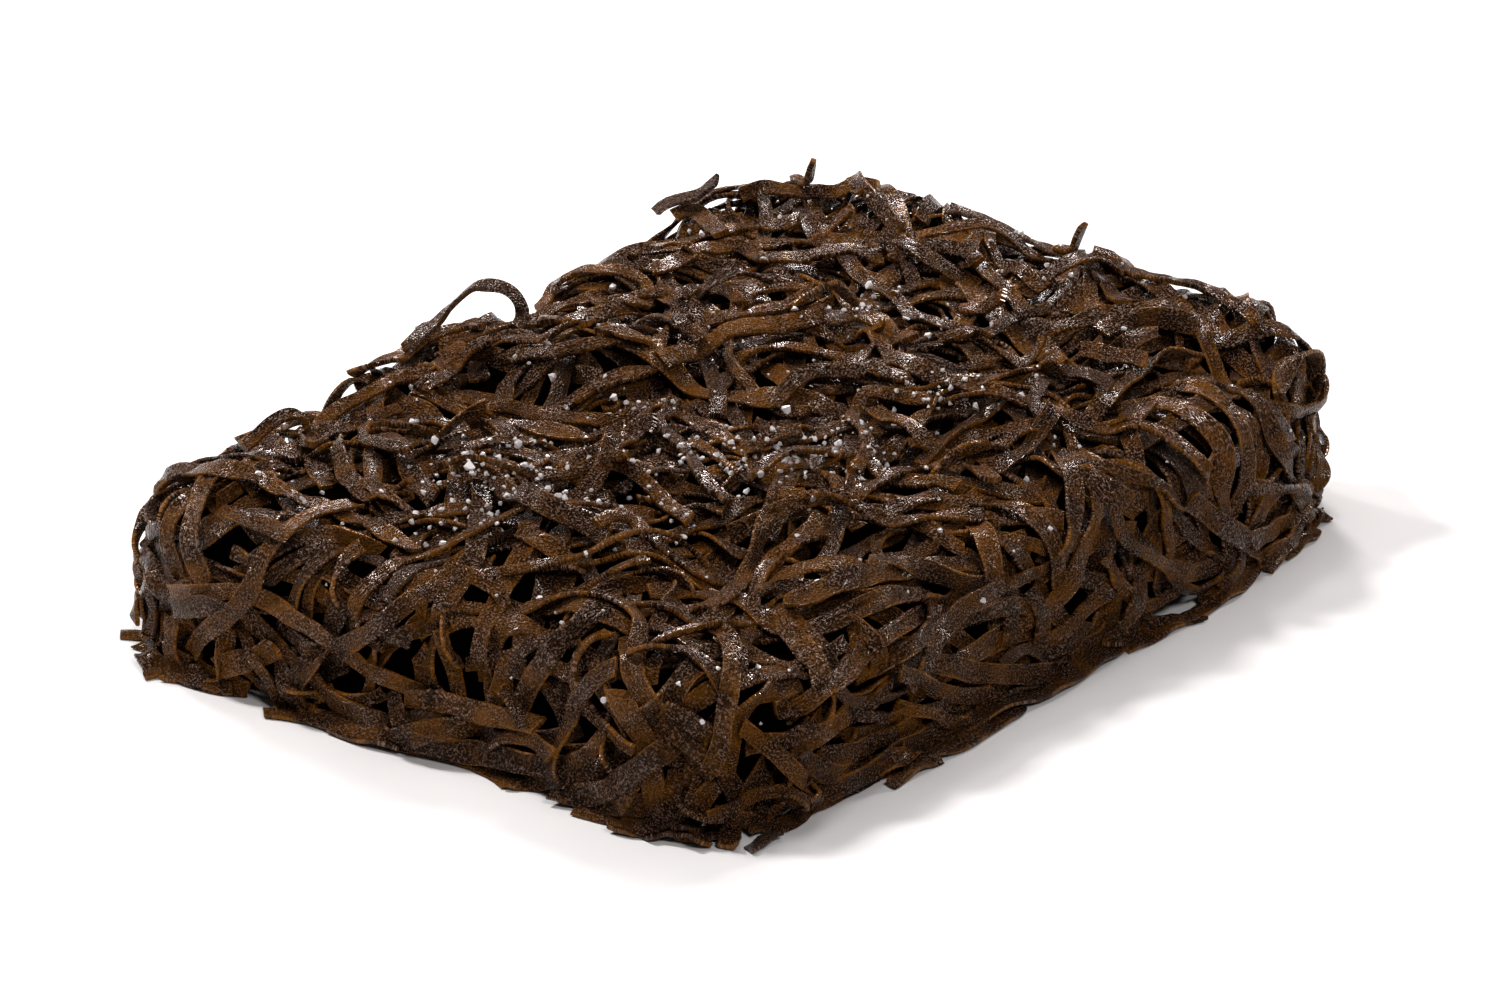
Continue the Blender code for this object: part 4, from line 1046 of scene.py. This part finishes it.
def dress_underside(mound, rng, material):
    under = Underside(mound)
    shell = Shell()
    for strap in lay_underside(under, rng):
        dress(under, strap, UNDER_RING, rng, shell, BED_SHEEN)
    piece = shell.finish("underside_straps", material)
    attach(piece, "root")


def area_light(name, place, size, power):
    lamp = bpy.data.lights.new(name, "AREA")
    lamp.size, lamp.energy, lamp.color = size, power, LAMP_COLOR
    made = add_object(name, lamp)
    made.location = place
    made.rotation_euler = (Vector(LAMP_AIM) - Vector(place)).to_track_quat("-Z", "Y").to_euler()


def make_stage():
    bm = bmesh.new()
    bmesh.ops.create_grid(bm, x_segments=1, y_segments=1, size=FLOOR_SIZE)
    mesh = bpy.data.meshes.new("floor")
    bm.to_mesh(mesh)
    bm.free()
    n = Nodes("floor")
    n.plain(Base_Color=FLOOR, Roughness=FLOOR_ROUGH)
    mesh.materials.append(n.material)
    floor = add_object("floor", mesh)
    world = bpy.data.worlds.new("studio")
    world.use_nodes = True
    world.node_tree.nodes["Background"].inputs[0].default_value = SKY_COLOR
    world.node_tree.nodes["Background"].inputs[1].default_value = SKY
    bpy.context.scene.world = world
    bpy.context.scene.view_settings.view_transform = "Standard"
    for name, place, size, power in LAMPS:
        area_light(name, place, size, power)


def make_camera():
    camera = bpy.data.cameras.new("camera")
    camera.lens = LENS
    camera.sensor_width = SENSOR
    made = add_object("camera", camera)
    made.location = EYE * MM
    ahead = Vector((cos(HEADING) * cos(DIP), sin(HEADING) * cos(DIP), -sin(DIP)))
    made.rotation_euler = ahead.to_track_quat("-Z", "Y").to_euler()
    bpy.context.scene.camera = made


def main():
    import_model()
    rng = np.random.default_rng(SEED)
    mound = Mound(rng)
    bed = lay_bed(mound, rng)
    tops = lay_tops(mound, rng)
    look = np.random.default_rng(SEED + 1)
    weed, salt = weed_material(), salt_material()
    make_core(mound, core_material())
    dress_straps(mound, bed, tops, look, weed)
    dress_underside(mound, look, weed)
    make_big_grains(look, salt)
    make_grains(mound, look, Sighting(mound), salt)
    make_stage()
    make_camera()
    bpy.context.view_layer.update()


main()
